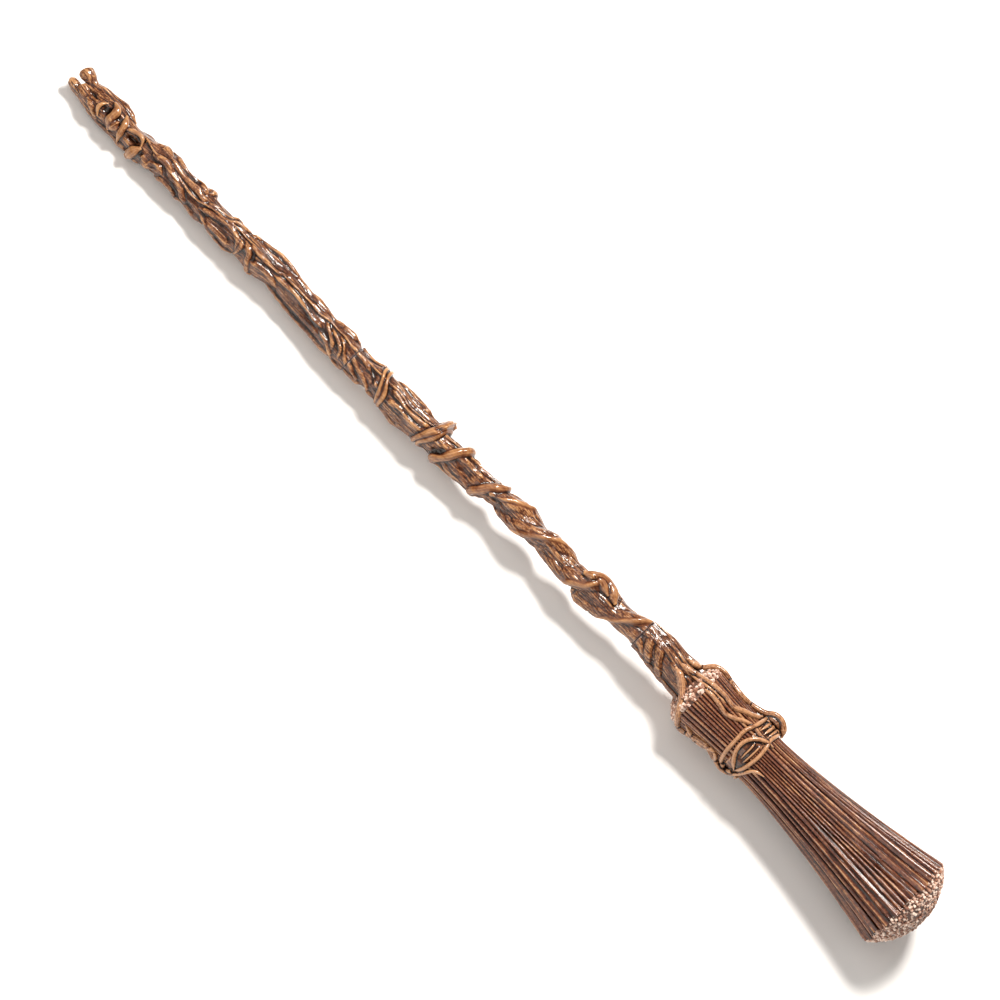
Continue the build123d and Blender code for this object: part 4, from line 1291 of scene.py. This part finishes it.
# %% Paint for bark, vines and bristles
bark_paint = dry_brushed("umber_and_bronze_bark", ("#180803", "#472211", "#704327", "#b38356"), 0.9,
                         fine_weight=0.6)
vine_paint = dry_brushed("umber_and_bronze_vine", ("#180803", "#452111", "#6f4429", "#b0825e"), 1.0,
                         grain=(2.0, 4.0, 4.0), fine_weight=0.8, rough=0.12, streaky=0.6)
bristle_paint = dry_brushed("umber_and_bronze_bristles", ("#260e05", "#552817", "#774529", "#ae835c"),
                            0.9, grain=(0.12, 4.0, 4.0))
print("nodes in a dry-brushed paint", len(bark_paint.node_tree.nodes))

# %% [markdown]
# ## Cut ends and bare plastic
#
# The cut ends were touched with pale beige, each a little differently, so a shade stored for each
# stud moves its colour. The gaps between them keep the umber. The plugs and sleeves were never
# painted: they are bare grey plastic with the fine grit of a spark-eroded mould.

# %% Paint for the cut ends and the plugs
def cut_end_paint():
    """Cut bristle ends: pale beige, satin, with mottling of 1000 / 420 = 2.4 mm."""
    material, tree, shader = new_material("beige_cut_ends")
    shade = add(tree, "ShaderNodeAttribute", attribute_name="shade").outputs["Fac"]
    place = add(tree, "ShaderNodeTexCoord").outputs["Object"]
    specks = add(tree, "ShaderNodeTexNoise", {"Vector": place},
                 inputs={"Scale": 420.0, "Detail": 3.0}).outputs["Fac"]
    mix = add(tree, "ShaderNodeMath", {0: shade}, operation="MULTIPLY", inputs={1: 0.55}).outputs[0]
    mix = add(tree, "ShaderNodeMath", {0: specks, 1: mix}, operation="ADD").outputs[0]
    beiges = [(0.35, "#5e3527"), (0.6, "#90604a"), (0.78, "#c39a84"), (0.95, "#e6cfc0")]
    colour = add(tree, "ShaderNodeValToRGB", {"Fac": mix}, stops=beiges).outputs["Color"]
    tree.links.new(colour, shader.inputs["Base Color"])
    shader.inputs["Roughness"].default_value = 0.42
    shader.inputs["Coat Weight"].default_value = 0.35
    shader.inputs["Coat Roughness"].default_value = 0.2
    return material


def under_paint():
    """Dark umber between the cut ends, with mottling of 1000 / 300 = 3.3 mm."""
    material, tree, shader = new_material("umber_under_ends")
    place = add(tree, "ShaderNodeTexCoord").outputs["Object"]
    specks = add(tree, "ShaderNodeTexNoise", {"Vector": place},
                 inputs={"Scale": 300.0, "Detail": 4.0}).outputs["Fac"]
    colour = add(tree, "ShaderNodeValToRGB", {"Fac": specks},
                 stops=[(0.3, "#3a241c"), (0.7, "#7a5646")]).outputs["Color"]
    tree.links.new(colour, shader.inputs["Base Color"])
    shader.inputs["Roughness"].default_value = 0.5
    return material


def plug_plastic():
    """Bare moulded plastic, dark blue-grey. The grit of 1000 / 1500 = 0.7 mm is drawn coarser than
    the real one, which is too fine to show."""
    material, tree, shader = new_material("bare_grey_plastic")
    place = add(tree, "ShaderNodeTexCoord").outputs["Object"]
    grit = add(tree, "ShaderNodeTexNoise", {"Vector": place},
               inputs={"Scale": 1500.0, "Detail": 2.0}).outputs["Fac"]
    colour = add(tree, "ShaderNodeValToRGB", {"Fac": grit},
                 stops=[(0.3, "#3a4450"), (0.7, "#4d5966")]).outputs["Color"]
    tree.links.new(colour, shader.inputs["Base Color"])
    bump = add(tree, "ShaderNodeBump", {"Height": grit}, inputs={"Strength": 0.2, "Distance": 0.0002})
    tree.links.new(bump.outputs["Normal"], shader.inputs["Normal"])
    shader.inputs["Roughness"].default_value = 0.45
    return material


# %% [markdown]
# Every piece gets one material. The skins are shaded smooth, except over edges sharper than 55
# degrees, so that the cut mouths stay crisp. The studs keep flat faces, which sparkle like cut ends.

# %% Painting the pieces
def paint(piece, material):
    """Gives a piece one material in place of what it had."""
    piece.data.materials.clear()
    piece.data.materials.append(material)


cut_paint, gap_paint, bare = cut_end_paint(), under_paint(), plug_plastic()
for piece in (tip, middle, neck):
    paint(piece, bark_paint)
paint(collar, vine_paint)
paint(bundle, bristle_paint)
for piece in (foot, top):
    paint(piece, cut_paint)
for piece in (tip, middle, neck, collar, bundle):
    only(piece)
    bpy.ops.object.shade_smooth_by_angle(angle=math.radians(55))
for node in ("shoulder_ring", "end_cap"):
    paint(frame["nodes"][node], gap_paint)
for node in ("tip_plug", "middle_plug", "middle_socket", "head_socket", "core_hub"):
    paint(frame["nodes"][node], bare)
print("materials", [m.name for m in (bark_paint, vine_paint, bristle_paint, cut_paint, gap_paint, bare)])

# %% [markdown]
# ## The floor
#
# A product studio has a plain pale sweep under the object. A matt plane does the same: it catches
# soft shadows and shows no edge, because it is far larger than the view.

# %% Floor
bpy.ops.object.select_all(action="DESELECT")
bpy.ops.mesh.primitive_plane_add(size=30.0, location=(0, 0, 0))
floor = named("floor")
material, _, shader = new_material("white_floor")
shader.inputs["Base Color"].default_value = linear("#f7f7f7")
shader.inputs["Roughness"].default_value = 0.9
floor.data.materials.append(material)
print("floor", [round(v) for v in floor.dimensions[:2]], "m")

# %% [markdown]
# ## The camera
#
# It looks down at the stick square on, through a long lens, with the frame rolled so that the
# broomstick lies corner to corner. Its three directions are built from the stick's own, which holds
# the framing even though the stick leans.

# %% Camera
LOOK_TILT = math.radians(29)        # from straight down, towards the front
END_TURN = math.radians(1.5)        # how much of the bristle end shows
ROLL = math.radians(44.93)          # of the stick against the frame's edge
DISTANCE = 5.0                      # metres, far enough to flatten perspective
WIDTH = 0.9177385                   # metres that the lens takes in at that distance
SENSOR = 36.0

side = forward.cross(Vector((0, 0, 1))).normalized()          # towards the front
up_out = side.cross(forward).normalized()
toward = (up_out * math.cos(LOOK_TILT) + side * math.sin(LOOK_TILT))
toward = (toward * math.cos(END_TURN) + forward * math.sin(END_TURN)).normalized()
flat_along = (forward - toward * forward.dot(toward)).normalized()
flat_up = toward.cross(flat_along).normalized()
right = flat_along * math.cos(ROLL) + flat_up * math.sin(ROLL)
above = -flat_along * math.sin(ROLL) + flat_up * math.cos(ROLL)
aim = LAY_DOWN @ Vector(spot(554.3, -0.6, 0.0))
bpy.ops.object.camera_add(location=aim + toward * DISTANCE)
camera = bpy.context.object
camera.rotation_mode = "QUATERNION"
camera.rotation_quaternion = Matrix((right, above, toward)).transposed().to_quaternion()
camera.data.sensor_width = SENSOR
camera.data.lens = SENSOR * DISTANCE / WIDTH
camera.data.clip_end = 100.0
bpy.context.scene.camera = camera
print("lens", round(camera.data.lens), "mm")

# %% [markdown]
# ## The light
#
# A big soft lamp fills, a small strong one above the stick draws the highlights along the vines, and
# a third lights the lower rim. Their places are given from the stick: above it, towards the camera,
# and along. A dim warm world keeps the valleys readable.

# %% Light
world = bpy.data.worlds.new("studio")
bpy.context.scene.world = world
world.use_nodes = True
world.node_tree.nodes["Background"].inputs["Color"].default_value = (1, 0.97, 0.93, 1)
world.node_tree.nodes["Background"].inputs["Strength"].default_value = 0.27


def softbox(name, place, size, power):
    """A square lamp that faces the broomstick."""
    bpy.ops.object.light_add(type="AREA", location=place)
    lamp = named(name)
    lamp.data.size = size
    lamp.data.energy = power
    lamp.data.color = (1, 0.95, 0.89)
    lamp.rotation_mode = "QUATERNION"
    lamp.rotation_quaternion = (Vector(place) - aim).to_track_quat("Z", "Y")
    return lamp


softbox("key", aim + flat_up * 1.7 + toward * 1.25 - flat_along * 0.2, 0.6, 84.0)
softbox("fill", aim - flat_along * 1.2 + toward * 2.2 + flat_up * 0.3, 2.2, 18.0)
rim = softbox("rim", aim - flat_up * 1.1 + toward * 1.7 + flat_along * 0.3, 1.5, 16.0)
bpy.context.scene.view_settings.view_transform = "Standard"
print("lamps key, fill and rim, the last of", rim.data.energy, "W")
